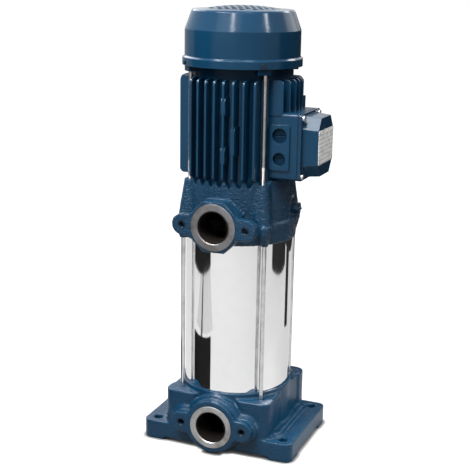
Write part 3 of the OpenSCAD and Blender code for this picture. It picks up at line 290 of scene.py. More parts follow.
class Tree:
    """A material's node tree, with short calls to add and link nodes."""

    def __init__(self, name: str) -> None:
        """Starts a material with one surface shader.

        Args:
            name: The material's name.
        """
        self.material = bpy.data.materials.new(name)
        self.material.use_nodes = True
        self.nodes = self.material.node_tree.nodes
        self.links = self.material.node_tree.links
        self.nodes.clear()
        output = self.nodes.new("ShaderNodeOutputMaterial")
        self.surface = self.nodes.new("ShaderNodeBsdfPrincipled")
        self.links.new(self.surface.outputs[0], output.inputs["Surface"])
        self.position = self.nodes.new("ShaderNodeTexCoord").outputs["Object"]

    def set(self, **values: float | Colour) -> None:
        """Sets constants on the surface shader.

        Args:
            values: Numbers or colours by the socket's name, with underscores for spaces.
        """
        for key, value in values.items():
            socket = self.surface.inputs[key.replace("_", " ")]
            socket.default_value = (*value, 1.0) if isinstance(value, tuple) else value

    def noise(
        self, scale: float, detail: float = 4.0, roughness: float = 0.5, stretch: Vec3 = (1, 1, 1)
    ) -> Socket:
        """Adds noise on the object's position.

        Args:
            scale: Number of cells in a metre.
            detail: Number of octaves.
            roughness: Strength of the finer octaves.
            stretch: Scale factors along the axes.

        Returns:
            The noise value's socket.
        """
        mapping = self.nodes.new("ShaderNodeMapping")
        mapping.inputs["Scale"].default_value = stretch
        self.links.new(self.position, mapping.inputs["Vector"])
        node = self.nodes.new("ShaderNodeTexNoise")
        node.inputs["Scale"].default_value = scale
        node.inputs["Detail"].default_value = detail
        node.inputs["Roughness"].default_value = roughness
        self.links.new(mapping.outputs[0], node.inputs["Vector"])
        return node.outputs[0]

    def math(
        self, operation: str, a: Value, b: Value | None = None, c: Value | None = None
    ) -> Socket:
        """Adds a math node on sockets or numbers.

        Args:
            operation: Blender's name of the operation.
            a: First value.
            b: Second value.
            c: Third value.

        Returns:
            The result's socket.
        """
        node = self.nodes.new("ShaderNodeMath")
        node.operation = operation
        for socket, value in zip(node.inputs, (a, b, c)):
            if value is None:
                continue
            if isinstance(value, (int, float)):
                socket.default_value = value
            else:
                self.links.new(value, socket)
        return node.outputs[0]

    def ramp(
        self, value: Socket, low: float, high: float, out_low: float = 0.0, out_high: float = 1.0
    ) -> Socket:
        """Maps a value from low..high to out_low..out_high, clamped.

        Args:
            value: The socket to map.
            low: Input at the start.
            high: Input at the end.
            out_low: Output at the start.
            out_high: Output at the end.

        Returns:
            The mapped socket.
        """
        node = self.nodes.new("ShaderNodeMapRange")
        self.links.new(value, node.inputs["Value"])
        keys = ("From Min", "From Max", "To Min", "To Max")
        for key, number in zip(keys, (low, high, out_low, out_high)):
            node.inputs[key].default_value = number
        return node.outputs[0]

    def mix(self, factor: Socket, a: Socket | Colour, b: Socket | Colour) -> Socket:
        """Mixes two colours.

        Args:
            factor: Socket of the share of b.
            a: Colour or socket.
            b: Colour or socket.

        Returns:
            The mixed colour's socket.
        """
        node = self.nodes.new("ShaderNodeMix")
        node.data_type = "RGBA"
        self.links.new(factor, node.inputs[0])
        for socket, value in ((node.inputs[6], a), (node.inputs[7], b)):
            if isinstance(value, tuple):
                socket.default_value = (*value, 1.0)
            else:
                self.links.new(value, socket)
        return node.outputs[2]

    def bump(self, height: Socket, distance: float, normal: Socket | None = None) -> Socket:
        """Adds a bump node.

        Args:
            height: Socket of the height, 0..1.
            distance: Height of 1 in metres.
            normal: Socket of the normal underneath.

        Returns:
            The normal's socket.
        """
        node = self.nodes.new("ShaderNodeBump")
        node.inputs["Distance"].default_value = distance
        node.inputs["Strength"].default_value = 1.0
        self.links.new(height, node.inputs["Height"])
        if normal is not None:
            self.links.new(normal, node.inputs["Normal"])
        return node.outputs[0]

    def rounded_edges(self, radius: float) -> Socket:
        """Adds normals that round every edge.

        Args:
            radius: Radius of the edges in metres.

        Returns:
            The normal's socket.
        """
        node = self.nodes.new("ShaderNodeBevel")
        node.samples = BEVEL_SAMPLES
        node.inputs["Radius"].default_value = radius
        return node.outputs[0]

    def axes(self) -> dict[str, Socket]:
        """The object's own X, Y and Z as sockets.

        Returns:
            The sockets by axis.
        """
        split = self.nodes.new("ShaderNodeSeparateXYZ")
        self.links.new(self.position, split.inputs[0])
        return {axis: split.outputs[axis] for axis in "XYZ"}

    def feed(self, **sockets: Socket) -> None:
        """Links sockets into the surface shader.

        Args:
            sockets: Sockets by the input's name, with underscores for spaces.
        """
        for key, socket in sockets.items():
            self.links.new(socket, self.surface.inputs[key.replace("_", " ")])


@dataclass(frozen=True)
class Enamel:
    """Blue gloss enamel over cast or pressed metal.

    Attributes:
        name: The material's name.
        colour: Colour of the film where it is thick.
        edge_colour: Colour where the film is thin, in the hollows of the skin.
        roughness: Roughness of the film.
        skin_size: Size of the casting skin's grains in metres.
        skin_height: Height of the casting skin in metres.
        skin_detail: Number of the casting skin's octaves.
        peel: Height of the film's orange peel in metres.
        edge: Radius of the rounded edges in metres.
        gloss: Strength of the film's shine.
        bare: Radius, lower and upper height of the unpainted chamber, in painted near-black shade.
        bore: Radius and height of the port's bore in front of the chamber, bare and in painted
            shade too.
    """

    name: str
    colour: Colour = (0.005, 0.041, 0.088)
    edge_colour: Colour = (0.003, 0.027, 0.062)
    roughness: float = 0.2
    skin_size: float = 2.2 * MM
    skin_height: float = 0.35 * MM
    skin_detail: float = 5.0
    peel: float = 0.03 * MM
    edge: float = 0.9 * MM
    gloss: float = 0.26
    bare: Vec3 | None = None
    bore: tuple[float, float] = (0.0, 0.0)

    def build(self) -> bpy.types.Material:
        """Builds the enamel's material."""
        tree = Tree(self.name)
        drift = tree.noise(DRIFT_SCALE, 3.0)
        skin = tree.noise(1.0 / self.skin_size, self.skin_detail, 0.6)
        peel = tree.noise(PEEL_SCALE, 2.0)
        slow = tree.math("MULTIPLY", drift, 1.0 - SKIN_SHARE)
        tone = tree.math("MULTIPLY_ADD", skin, SKIN_SHARE, slow)
        film = tree.mix(tree.ramp(tone, *TONE_SPAN), self.edge_colour, self.colour)
        if self.bare:
            # Inside, the film gives way to near-black bare iron with no shine: painted shade.
            inside = self.inside(tree)
            tree.feed(Base_Color=tree.mix(inside, film, SHADED_BARE_IRON))
            tree.feed(Specular_IOR_Level=tree.ramp(inside, 0.0, 1.0, self.gloss, 0.0))
        else:
            tree.feed(Base_Color=film)
            tree.set(Specular_IOR_Level=self.gloss)
        fall, rise = ROUGHNESS_SPREAD
        spread = (self.roughness - fall, self.roughness + rise)
        tree.feed(Roughness=tree.ramp(skin, *NOISE_SPAN, *spread))
        normal = tree.rounded_edges(self.edge)
        normal = tree.bump(skin, self.skin_height, normal)
        tree.feed(Normal=tree.bump(peel, self.peel, normal))
        return tree.material

    def inside(self, tree: Tree) -> Socket:
        """1 inside the casting, where the painted shade goes, 0 elsewhere.

        Inside is within the chamber's radius of the shaft axis and between its heights, or within
        the bore's radius of the port's axis and in front of the chamber.

        Args:
            tree: The material's tree.

        Returns:
            The mask's socket.
        """
        radius, low, high = self.bare
        at = tree.axes()
        squares = [tree.math("MULTIPLY", at[axis], at[axis]) for axis in "XY"]
        near = tree.math("LESS_THAN", tree.math("ADD", *squares), radius * radius)
        above = tree.math("GREATER_THAN", at["Z"], low)
        below = tree.math("LESS_THAN", at["Z"], high)
        chamber = tree.math("MULTIPLY", near, tree.math("MULTIPLY", above, below))
        bore_radius, bore_height = self.bore
        rise = tree.math("SUBTRACT", at["Z"], bore_height)
        away = tree.math("ADD", squares[0], tree.math("MULTIPLY", rise, rise))
        in_front = tree.math("LESS_THAN", at["Y"], -BORE_START * radius)
        within = tree.math("LESS_THAN", away, bore_radius * bore_radius)
        return tree.math("MAXIMUM", chamber, tree.math("MULTIPLY", in_front, within))


@dataclass(frozen=True)
class Metal:
    """Bare metal: ground, turned, plated or polished.

    Attributes:
        name: The material's name.
        colour: Colour of the metal.
        dark: Colour in its marks and stains.
        roughness: Mean roughness.
        stain: Strength of the stains, 0..1.
        grain: Scale of the fine grain in cells a metre.
        grain_height: Height of the grain in metres.
        stretch: Scale factors of the grain along the axes.
        edge: Radius of the rounded edges in metres, 0 for none.
    """

    name: str
    colour: Colour = (0.6, 0.6, 0.6)
    dark: Colour = (0.3, 0.3, 0.3)
    roughness: float = 0.3
    stain: float = 0.5
    grain: float = 900.0
    grain_height: float = 0.01 * MM
    stretch: Vec3 = (1, 1, 1)
    edge: float = 0.0

    def build(self) -> bpy.types.Material:
        """Builds the metal's material."""
        tree = Tree(self.name)
        blotch = tree.noise(BLOTCH_SCALE, 5.0, 0.6)
        grain = tree.noise(self.grain, 3.0, 0.5, self.stretch)
        stained = tree.ramp(blotch, *STAIN_SPAN, 0.0, self.stain)
        tree.feed(Base_Color=tree.mix(stained, self.colour, self.dark))
        spread = (self.roughness * share for share in METAL_SPREAD)
        tree.feed(Roughness=tree.ramp(grain, *NOISE_SPAN, *spread))
        tree.set(Metallic=1.0)
        normal = tree.rounded_edges(self.edge) if self.edge else None
        tree.feed(Normal=tree.bump(grain, self.grain_height, normal))
        return tree.material


@dataclass(frozen=True)
class Soft:
    """Rubber, resin, carbon or ceramic: no metal, a fine grain.

    Attributes:
        name: The material's name.
        colour: Main colour.
        pale: Colour of its faint dust.
        roughness: Mean roughness.
        grain: Scale of the grain in cells a metre.
        grain_height: Height of the grain in metres.
        dust: Scale of the dust's patches in cells a metre.
        dusty: Share of the dust where it is thickest.
        spread: How far the roughness falls and rises.
        gloss: Strength of the shine.
    """

    name: str
    colour: Colour
    pale: Colour
    roughness: float
    grain: float = 700.0
    grain_height: float = 0.02 * MM
    dust: float = 45.0
    dusty: float = 0.6
    spread: float = 0.1
    gloss: float = 0.25

    def build(self) -> bpy.types.Material:
        """Builds the material."""
        tree = Tree(self.name)
        grain = tree.noise(self.grain)
        dust = tree.ramp(tree.noise(self.dust), 0.45, 0.8, 0.0, self.dusty)
        tree.feed(Base_Color=tree.mix(dust, self.colour, self.pale))
        spread = (self.roughness - self.spread, self.roughness + self.spread)
        tree.feed(Roughness=tree.ramp(grain, 0.3, 0.7, *spread))
        tree.set(Specular_IOR_Level=self.gloss)
        tree.feed(Normal=tree.bump(grain, self.grain_height))
        return tree.material


@dataclass(frozen=True)
class RuledPlate:
    """Bare aluminium plate with plain ruled lines.

    Attributes:
        name: The material's name.
        pitch: Spacing of the ruled lines in metres.
        line: Width of a line in metres.
        clean: Colour of the bare metal.
        dull: Colour of the metal where it has dulled.
        rule: Colour of the lines.
        roughness: Lowest and highest roughness.
        brush: Scale of the brushed grain in cells a metre.
        brush_height: Height of the brushed grain in metres.
    """

    name: str = "ruled_plate"
    pitch: float = 5.2 * MM
    line: float = 0.45 * MM
    clean: Colour = (0.92, 0.92, 0.91)
    dull: Colour = (0.66, 0.65, 0.63)
    rule: Colour = (0.15, 0.15, 0.15)
    roughness: tuple[float, float] = (0.38, 0.55)
    brush: float = 1500.0
    brush_height: float = 0.01 * MM

    def build(self) -> bpy.types.Material:
        """Builds the material: lines where z modulo the pitch is below the line's width."""
        tree = Tree(self.name)
        height = tree.math("MODULO", tree.axes()["Z"], self.pitch)
        ruled = tree.math("LESS_THAN", height, self.line)
        blotch = tree.noise(2 * BLOTCH_SCALE, 6.0, 0.65)
        bare = tree.mix(tree.ramp(blotch, 0.45, 0.6), self.clean, self.dull)
        tree.feed(Base_Color=tree.mix(ruled, bare, self.rule))
        tree.feed(Roughness=tree.ramp(blotch, 0.3, 0.7, *self.roughness))
        brushed = tree.noise(self.brush, 2.0, 0.5, (1, 0.05, 1))
        tree.feed(Normal=tree.bump(brushed, self.brush_height))
        return tree.material


FINISHES: dict[str, Enamel | Metal | Soft | RuledPlate] = {
    "base": Enamel(
        "base_enamel",
        roughness=0.17,
        skin_size=2.8 * MM,
        skin_height=0.7 * MM,
        skin_detail=2.0,
        edge=1.2 * MM,
        gloss=0.22,
        # The chamber and the bore take the painted shade of bare iron.
        bare=(CHAMBER_RADIUS, 6 * MM, 70 * MM),
        bore=(BORE_RADIUS, SUCTION_HEIGHT),
    ),
    "head": Enamel(
        "head_enamel",
        roughness=0.14,
        skin_size=2.3 * MM,
        skin_height=1.7 * MM,
        skin_detail=1.5,
        # The chamber and the bore take the painted shade of bare iron.
        bare=(CHAMBER_RADIUS, 290 * MM, 345 * MM),
        bore=(BORE_RADIUS, DISCHARGE_HEIGHT),
    ),
    "frame": Enamel("frame_enamel", skin_size=1.4 * MM, skin_height=0.1 * MM, edge=0.8 * MM),
    "cover": Enamel(
        "cover_enamel", roughness=0.13, skin_size=1.2 * MM, skin_height=0.03 * MM, edge=1.0 * MM
    ),
    # Darker enamel on the rear shield and the cable plugs: painted shade of the gap under the fan
    # cover and of the plugs' recesses.
    "shield": Enamel(
        "shield_enamel_painted_shade", (0.003, 0.022, 0.05), (0.002, 0.016, 0.036), 0.2, 1.4 * MM, 0.1 * MM,
        gloss=0.08,
    ),
    "mirror": Metal(
        "mirror_steel", (0.93, 0.93, 0.935), (0.86, 0.86, 0.87), 0.05, 0.4, 300.0, 0.002 * MM,
        stretch=(1, 1, 0.05),
    ),
    "rod": Metal(
        "rod_steel", (0.45, 0.42, 0.41), (0.2, 0.17, 0.16), 0.3, 0.7, 1200.0, 0.02 * MM
    ),
    "tie_rod": Metal(
        "tie_rod_steel", (0.7, 0.7, 0.7), (0.4, 0.39, 0.38), 0.16, 0.6, 1200.0, 0.01 * MM
    ),
    "zinc": Metal("zinc_plate", (0.72, 0.73, 0.76), (0.45, 0.45, 0.47), 0.28, edge=0.3 * MM),
    "turned": Metal(
        "turned_iron", (0.36, 0.36, 0.36), (0.2, 0.19, 0.18), 0.4, 0.9, 700.0, 0.03 * MM
    ),
    "turned_brown": Metal(
        "turned_iron_brown", (0.2, 0.2, 0.21), (0.1, 0.08, 0.07), 0.42, 0.9, 700.0, 0.03 * MM
    ),
    # Near-black threads without shine in the ports' bores: painted shade, not the metal's own
    # colour.
    "bore": Enamel(
        "thread_painted_shade", SHADED_BARE_IRON, SHADED_BARE_IRON, 0.5, 1.0 * MM, 0.02 * MM, edge=0.1 * MM, gloss=0.01
    ),
    "steel": Metal("stainless", (0.62, 0.63, 0.64), (0.4, 0.4, 0.41), stain=0.4, edge=0.3 * MM),
    "ground": Metal("bearing_steel", (0.74, 0.75, 0.77), (0.5, 0.5, 0.52), 0.16, 0.3),
    "lamination": Metal(
        "lamination", (0.34, 0.34, 0.36), (0.16, 0.13, 0.11), 0.5, 0.7, 1800.0, 0.05 * MM,
        stretch=(0.02, 0.02, 1),
    ),
    "aluminium": Metal("cast_aluminium", (0.7, 0.7, 0.71), (0.5, 0.5, 0.5), 0.45, 0.4),
    "copper": Metal(
        "winding_copper", (0.62, 0.28, 0.13), (0.3, 0.11, 0.05), 0.35, 0.8, 2500.0, 0.1 * MM
    ),
    "brass": Metal("turned_brass", (0.68, 0.5, 0.22), (0.4, 0.28, 0.12), edge=0.3 * MM),
    "dark_screw": Enamel(
        "dark_screw", (0.012, 0.02, 0.035), (0.006, 0.01, 0.02), 0.4, 1.0 * MM, 0.02 * MM,
        edge=0.3 * MM,
    ),
    "rubber": Soft("black_rubber", (0.012, 0.012, 0.012), (0.03, 0.03, 0.03), 0.62),
    "resin": Soft("black_resin", (0.015, 0.015, 0.017), (0.04, 0.04, 0.042), 0.42),
    "carbon": Soft("seal_carbon", (0.03, 0.03, 0.032), (0.06, 0.06, 0.06), 0.25),
    "ceramic": Soft("seal_ceramic", (0.75, 0.73, 0.68), (0.8, 0.78, 0.74), 0.2),
    "plate": RuledPlate(),
}

NODES_OF_FINISH = {
    "base": ("base_casting",),
    "head": ("head_casting",),
    "frame": ("motor_frame", "priming_plug", "priming_plug_washer"),
    # The darker shield enamel is painted shade on the shield and on the recessed cable plugs.
    "shield": ("rear_shield", "large_cable_plug", "small_cable_plug"),
    "cover": ("fan_cover", "terminal_box_lid"),
    "mirror": ("outer_jacket",),
    "tie_rod": ("tie_rods",),
    "rod": ("motor_rods",),
    "dark_screw": ("fan_cover_screws",),
    "plate": ("nameplate",),
    "zinc": (
        "drain_plug", "tie_rod_nuts", "tie_rod_washers", "motor_rod_nuts", "preload_washer",
        "lid_screws", "nameplate_rivets", "drive_bearing_clip", "fan_clip",
    ),
    "copper": ("drain_plug_washer", "stator_windings"),
    "brass": ("lower_bearing_bush", "terminal_studs", "drive_bearing_cage", "fan_bearing_cage"),
    "rubber": ("jacket_seals", "seal_seat_ring", "terminal_box_gasket", "water_slinger"),
    "resin": ("diffusers", "wear_rings", "terminal_board", "fan"),
    "ceramic": ("seal_seat",),
    "carbon": ("seal_head",),
    "lamination": ("stator_core", "rotor_core"),
    "aluminium": ("rotor_end_rings",),
    "ground": (
        "drive_bearing_outer_ring", "drive_bearing_inner_ring", "drive_bearing_balls",
        "fan_bearing_outer_ring", "fan_bearing_inner_ring", "fan_bearing_balls",
    ),
}
NODE_FINISH = {node: key for key, nodes in NODES_OF_FINISH.items() for node in nodes}


def dress(piece: bpy.types.Object, material: bpy.types.Material) -> None:
    """Gives a piece one material.

    Args:
        piece: A mesh object.
        material: The material for its slots, or for a new one.
    """
    if piece.material_slots:
        for place in piece.material_slots:
            place.material = material
    else:
        piece.data.materials.append(material)


@dataclass
class Construction:
    """The construction model's own pieces, each given its finish.

    Attributes:
        nodes: The construction model's objects by name.
        finishes: The pump's finishes.
    """

    nodes: dict[str, bpy.types.Object]
    finishes: dict[str, bpy.types.Material]

    def build(self) -> None:
        """Gives every node its finish."""
        for name, piece in self.nodes.items():
            dress(piece, self.finishes[NODE_FINISH.get(name, "steel")])
        LOG.info("%d construction pieces dressed", len(self.nodes))


@dataclass
class Port:
    """A machined pipe port: its bare ring, its pipe thread and the two tapped holes beside it.

    Attributes:
        name: Name of the port's pieces.
        height: Height of the port's axis.
        ring_radius: Outside radius of the machined ring.
        reach: Distance from the shaft axis to the machined face.
        core_radius: Radius over the thread's crests.
        major_radius: Radius at the bottom of the thread's grooves.
        pitch: Lead of the thread.
        thread_length: Length of the thread.
        ring_depth: Depth of the ring's piece behind its face.
        flange_reach: Distance from the shaft axis to the painted flange face.
        hole_spacing: Spacing of the tapped holes.
        ring_gap: Gap between the ring's piece and the thread's grooves.
        sleeve: Thickness of the thread's sleeve behind its grooves.
        room: Width that the casting leaves for ring and sleeve behind the grooves.
    """

    name: str
    height: float
    ring_radius: float
    reach: float = 93.0 * MM
    core_radius: float = 19.3 * MM
    major_radius: float = 20.7 * MM
    pitch: float = 2.309 * MM
    thread_length: float = 25.0 * MM
    ring_depth: float = 2.4 * MM
    flange_reach: float = 91.8 * MM
    hole_spacing: float = 86.4 * MM
    ring_gap: float = 0.1 * MM
    sleeve: float = 0.5 * MM
    room: float = 0.7 * MM

    def build(self, ring: bpy.types.Material, finishes: dict[str, bpy.types.Material]) -> None:
        """Builds and dresses the port's pieces.

        Args:
            ring: Finish of the machined face.
            finishes: The pump's finishes.
        """
        finish_piece(self.ring(), ring)
        # The thread's finish is painted shade inside the bore.
        finish_piece(self.thread(), finishes["bore"])
        finish_piece(self.tapped_holes(), finishes["dark_screw"])

    def origin(self) -> Vec3:
        """The centre of the port's face."""
        return (0.0, -self.reach, self.height)

    def ring(self) -> bpy.types.Object:
        """The machined ring: a flat face with a chamfered mouth and a small outer radius."""
        inner, outer = self.major_radius + self.ring_gap, self.ring_radius
        chamfer, radius, corner_steps, steps = 1.4 * MM, 0.5 * MM, 5, 128
        back = [[inner, -self.ring_depth], [outer, -self.ring_depth]]
        corner = arc((outer - radius, -radius), radius, 0, 90, corner_steps)
        mouth = [[inner + chamfer, 0.0], [inner, -chamfer]]
        profile = np.concatenate([back, corner, mouth])
        return revolved(f"{self.name}_machined_ring", profile, Turn.FRONT, self.origin(), steps)

    def thread(self) -> bpy.types.Object:
        """The pipe thread as a closed sleeve, with its thread inside."""
        start, per_pitch = -1.0 * MM, 9
        count = int(self.thread_length / self.pitch * per_pitch)
        return threaded_sleeve(
            f"{self.name}_pipe_thread",
            np.linspace(start, -self.thread_length, count),
            (self.core_radius, self.major_radius),
            self.major_radius + self.sleeve,
            self.pitch,
            Turn.FRONT,
            self.origin(),
        )

    def tapped_holes(self) -> bpy.types.Object:
        """The two tapped holes: chamfered mouths and V grooves, revolved about each axis."""
        crest, groove, wall, pitch, depth = 3.95 * MM, 4.7 * MM, 5.2 * MM, 1.5 * MM, 12 * MM
        proud, steps = 0.05 * MM, 40
        turns = np.arange(0, depth, pitch)
        radii = np.where(np.arange(2 * len(turns)) % 2, groove, crest)
        inside = np.stack([radii, -np.repeat(turns, 2)], axis=-1)
        inside[1::2, 1] -= pitch / 2
        inside[0] = [groove, 0.0]
        profile = np.concatenate([[[wall, -depth], [wall, 0.0]], inside, [[crest, -depth]]])
        pair = []
        for side in (-1, 1):
            place = (side * self.hole_spacing / 2, -self.flange_reach - proud, self.height)
            pair.append(revolved(f"hole_{side}", profile, Turn.FRONT, place, steps))
        return joined(f"{self.name}_tapped_holes", pair)


def finish_piece(piece: bpy.types.Object, material: bpy.types.Material) -> None:
    """Shades a new piece, dresses it and lets it ride on the pump's fixed body.

    It is shaded smooth, with edges sharper than SHARP_ANGLE left sharp.

    Args:
        piece: The piece.
        material: Its finish.
    """
    piece.data.shade_smooth()
    piece.data.set_sharp_from_angle(angle=math.radians(SHARP_ANGLE))
    dress(piece, material)
    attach(piece, BODY)
    LOG.info("%s: %d faces", piece.name, len(piece.data.polygons))


def threaded_sleeve(
    name: str,
    along: np.ndarray,
    radii: tuple[float, float],
    plain: float,
    pitch: float,
    turn: Turn,
    origin: Vec3,
    steps: int = 72,
) -> bpy.types.Object:
    """A closed sleeve with a helical thread on one side and a plain wall on the other.

    The threaded radius is crest + (root - crest) * wave, where wave is the triangle wave of
    height / pitch - angle / 360 degrees, stretched and cut off so that both ends are flat.

    Args:
        name: The piece's name.
        along: Heights of the thread's rows.
        radii: Radius at the crests and at the roots.
        plain: Radius of the plain wall.
        pitch: Lead of the thread.
        turn: The way that the axis points.
        origin: The axis's origin in the model.
        steps: Number of steps round the axis.

    Returns:
        The sleeve.
    """
    angle = np.linspace(0, 2 * np.pi, steps, endpoint=False)[None, :]
    height = along[:, None]
    wave = np.abs(2 * ((height / pitch - angle / (2 * np.pi)) % 1.0) - 1.0)
    flat = np.clip((1 + 2 * THREAD_FLAT) * wave - THREAD_FLAT, 0, 1)
    threaded = radii[0] + (radii[1] - radii[0]) * flat
    radius = np.concatenate([threaded, np.full((2, steps), plain)])
    heights = np.concatenate([along, along[-1:], along[:1]])[:, None]
    grid = wound(radius, angle, heights)
    return point_outwards(mesh_from_grid(name, turned(grid, turn, origin)))


@dataclass
class Casting:
    """A sand casting: its construction solid, with softened edges and a cast skin.

    Attributes:
        node: The construction node that the piece stands for.
        port: The port whose machined faces are pieces of their own.
        voxel: Size of the mesh's cells.
        skin: Wavelength and height of each layer of the cast skin.
        smooth: Number of smoothing passes.
    """

    node: str
    port: Port
    voxel: float
    skin: tuple[tuple[float, float], ...]
    smooth: int = 2

    def build(self, source: bpy.types.Object, material: bpy.types.Material) -> None:
        """Puts a softened copy of the solid with a cast skin in its place, within its box.

        Args:
            source: The construction node's object.
            material: The casting's finish.
        """
        piece = joined(f"{self.node}_skin", [source.copy()])
        point_outwards(piece)
        low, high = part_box(self.node)
        self.remesh(piece)
        self.open_port(piece)
        self.roughen(piece)
        write_points(piece, np.clip(read_points(piece), np.array(low), np.array(high)))
        finish_piece(piece, material)
        piece.data.shade_smooth()
        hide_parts(self.node)

    def remesh(self, piece: bpy.types.Object) -> None:
        """Rebuilds the surface from even cells and smooths it, which rounds every edge.

        Args:
            piece: The casting.
        """
        cells = piece.modifiers.new("cells", "REMESH")
        cells.mode = "VOXEL"
        cells.voxel_size = self.voxel
        smooth = piece.modifiers.new("smooth", "SMOOTH")
        smooth.factor = 0.5
        smooth.iterations = self.smooth
        settle(piece)

    def roughen(self, piece: bpy.types.Object) -> None:
        """Moves the surface along its normals by cloudy noise, one layer for each wavelength.

        Args:
            piece: The casting.
        """
        for number, (size, height) in enumerate(self.skin):
            cloud = bpy.data.textures.new(f"{self.node}_cloud_{number}", "CLOUDS")
            cloud.noise_scale = size
            cloud.noise_depth = 2
            layer = piece.modifiers.new(f"skin_{number}", "DISPLACE")
            layer.texture = cloud
            layer.texture_coords = "LOCAL"
            layer.strength = height
            layer.mid_level = 0.5
        settle(piece)

    def open_port(self, piece: bpy.types.Object) -> None:
        """Leaves room for the port's own pieces.

        Points in front of the flange face move back to it, which flattens the machined ring.
        Points nearer to the port's axis than the thread's outer wall move straight out to that
        wall, which widens the bore.

        Args:
            piece: The casting.
        """
        port, points = self.port, read_points(piece)
        face, beyond = -port.flange_reach, 2 * MM
        points[:, 1] = np.maximum(points[:, 1], face)
        away = np.hypot(points[:, 0], points[:, 2] - port.height)
        wall = port.major_radius + port.room
        inside = (away < wall) & (points[:, 1] < face + port.thread_length + beyond)
        grow = np.where(inside, wall / np.maximum(away, DOUBLES), 1.0)
        points[:, 0] *= grow
        points[:, 2] = port.height + (points[:, 2] - port.height) * grow
        write_points(piece, points)


def settle(piece: bpy.types.Object) -> None:
    """Applies a piece's modifiers to its mesh.

    Args:
        piece: A mesh object.
    """
    graph = bpy.context.evaluated_depsgraph_get()
    graph.update()
    finished = bpy.data.meshes.new_from_object(
        piece.evaluated_get(graph), preserve_all_data_layers=False, depsgraph=graph
    )
    piece.modifiers.clear()
    piece.data = finished


@dataclass
class RodThreads:
    """The bright screw threads at the lower ends of the four motor rods.

    Attributes:
        spacing: Spacing of the rods along X and Y.
        low: Height of the thread's lower end.
        high: Height of its upper end.
        radius: Radius over the thread.
        depth: Depth of the thread.
        inner: Inner radius of the sleeve, inside the rod.
        pitch: Lead of the thread.
        per_pitch: Rows of points to one pitch.
        steps: Steps round the axis.
    """

    spacing: float = 100.8 * MM
    low: float = 362.9 * MM
    high: float = 385.6 * MM
    radius: float = 2.85 * MM
    depth: float = 0.35 * MM
    inner: float = 2.3 * MM
    pitch: float = 0.9 * MM
    per_pitch: int = 6
    steps: int = 24

    def build(self, material: bpy.types.Material) -> None:
        """Builds the four threads as one piece: helical sleeves round the rods.

        Args:
            material: Finish of the threads.
        """
        count = int((self.high - self.low) / self.pitch * self.per_pitch)
        rows = np.linspace(self.low, self.high, count)
        radii = (self.radius, self.radius - self.depth)
        threads = []
        for x, y in ((-1, -1), (-1, 1), (1, -1), (1, 1)):
            foot = (x * self.spacing / 2, y * self.spacing / 2, 0.0)
            wall = (radii, self.inner, self.pitch)
            threads.append(threaded_sleeve(f"rod_{x}_{y}", rows, *wall, Turn.UP, foot, self.steps))
        finish_piece(joined("motor_rod_threads", threads), material)


@dataclass
class Camera:
    """The photograph's camera, fitted to the pump's own measures.

    Attributes:
        azimuth: Angle of the camera about the pump, from straight in front, in degrees.
        pitch: Angle that the camera looks down by, in degrees.
        roll: Turn of the frame about the line of sight, in degrees.
        distance: Distance from the camera to the point that it looks at.
        side: Sideways place of that point from the shaft axis, along the picture.
        height: Height of that point.
        focal_pixels: Focal length in pixels of the photograph.
        frame_pixels: Width of the photograph in pixels.
    """

    azimuth: float = 21.72
    pitch: float = 14.36
    roll: float = 0.98
    distance: float = 1.42782
    side: float = -5.85 * MM
    height: float = 280.17 * MM
    focal_pixels: float = 1062.49
    frame_pixels: float = 470.0

    def build(self) -> None:
        """Makes the camera and gives it to the scene."""
        a, p, r = (math.radians(v) for v in (self.azimuth, self.pitch, self.roll))
        right = Vector((math.cos(a), math.sin(a), 0))
        back = Vector((math.sin(a) * math.cos(p), -math.cos(a) * math.cos(p), math.sin(p)))
        up = back.cross(right)
        across = right * math.cos(r) + up * math.sin(r)
        above = up * math.cos(r) - right * math.sin(r)
        target = right * self.side + Vector((0, 0, self.height))
        data = bpy.data.cameras.new("photo_camera")
        data.sensor_width = SENSOR_WIDTH
        data.lens = data.sensor_width * self.focal_pixels / self.frame_pixels
        data.clip_start, data.clip_end = 0.05, 50.0
        camera = placed("photo_camera", data)
        turn = Matrix((across, above, back)).transposed().to_4x4()
        camera.matrix_world = Matrix.Translation(target + back * self.distance) @ turn
        bpy.context.scene.camera = camera


@dataclass
class Lamp:
    """A soft lamp on a circle round the pump.

    Attributes:
        name: The lamp's name.
        azimuth: Angle about the pump from straight in front, in degrees.
        elevation: Angle above the horizon in degrees.
        distance: Distance from the point that it faces.
        size: Width and height of the lamp's face.
        power: Power in watts.
        spread: Angle of its beam in degrees.
        aim: The point that it faces and goes round.
    """

    name: str
    azimuth: float
    elevation: float
    distance: float
    size: tuple[float, float]
    power: float
    spread: float = 180.0
    aim: Vec3 = (0.0, 0.0, 0.3)

    def build(self) -> None:
        """Hangs the lamp so that it faces its point."""
        data = bpy.data.lights.new(self.name, "AREA")
        data.shape = "RECTANGLE"
        data.size, data.size_y = self.size
        data.energy = self.power
        data.spread = math.radians(self.spread)
        lamp = placed(self.name, data)
        a, e = math.radians(self.azimuth), math.radians(self.elevation)
        away = Vector((math.sin(a) * math.cos(e), -math.cos(a) * math.cos(e), math.sin(e)))
        lamp.location = Vector(self.aim) + away * self.distance
        lamp.rotation_mode = "QUATERNION"
        lamp.rotation_quaternion = away.to_track_quat("Z", "Y")


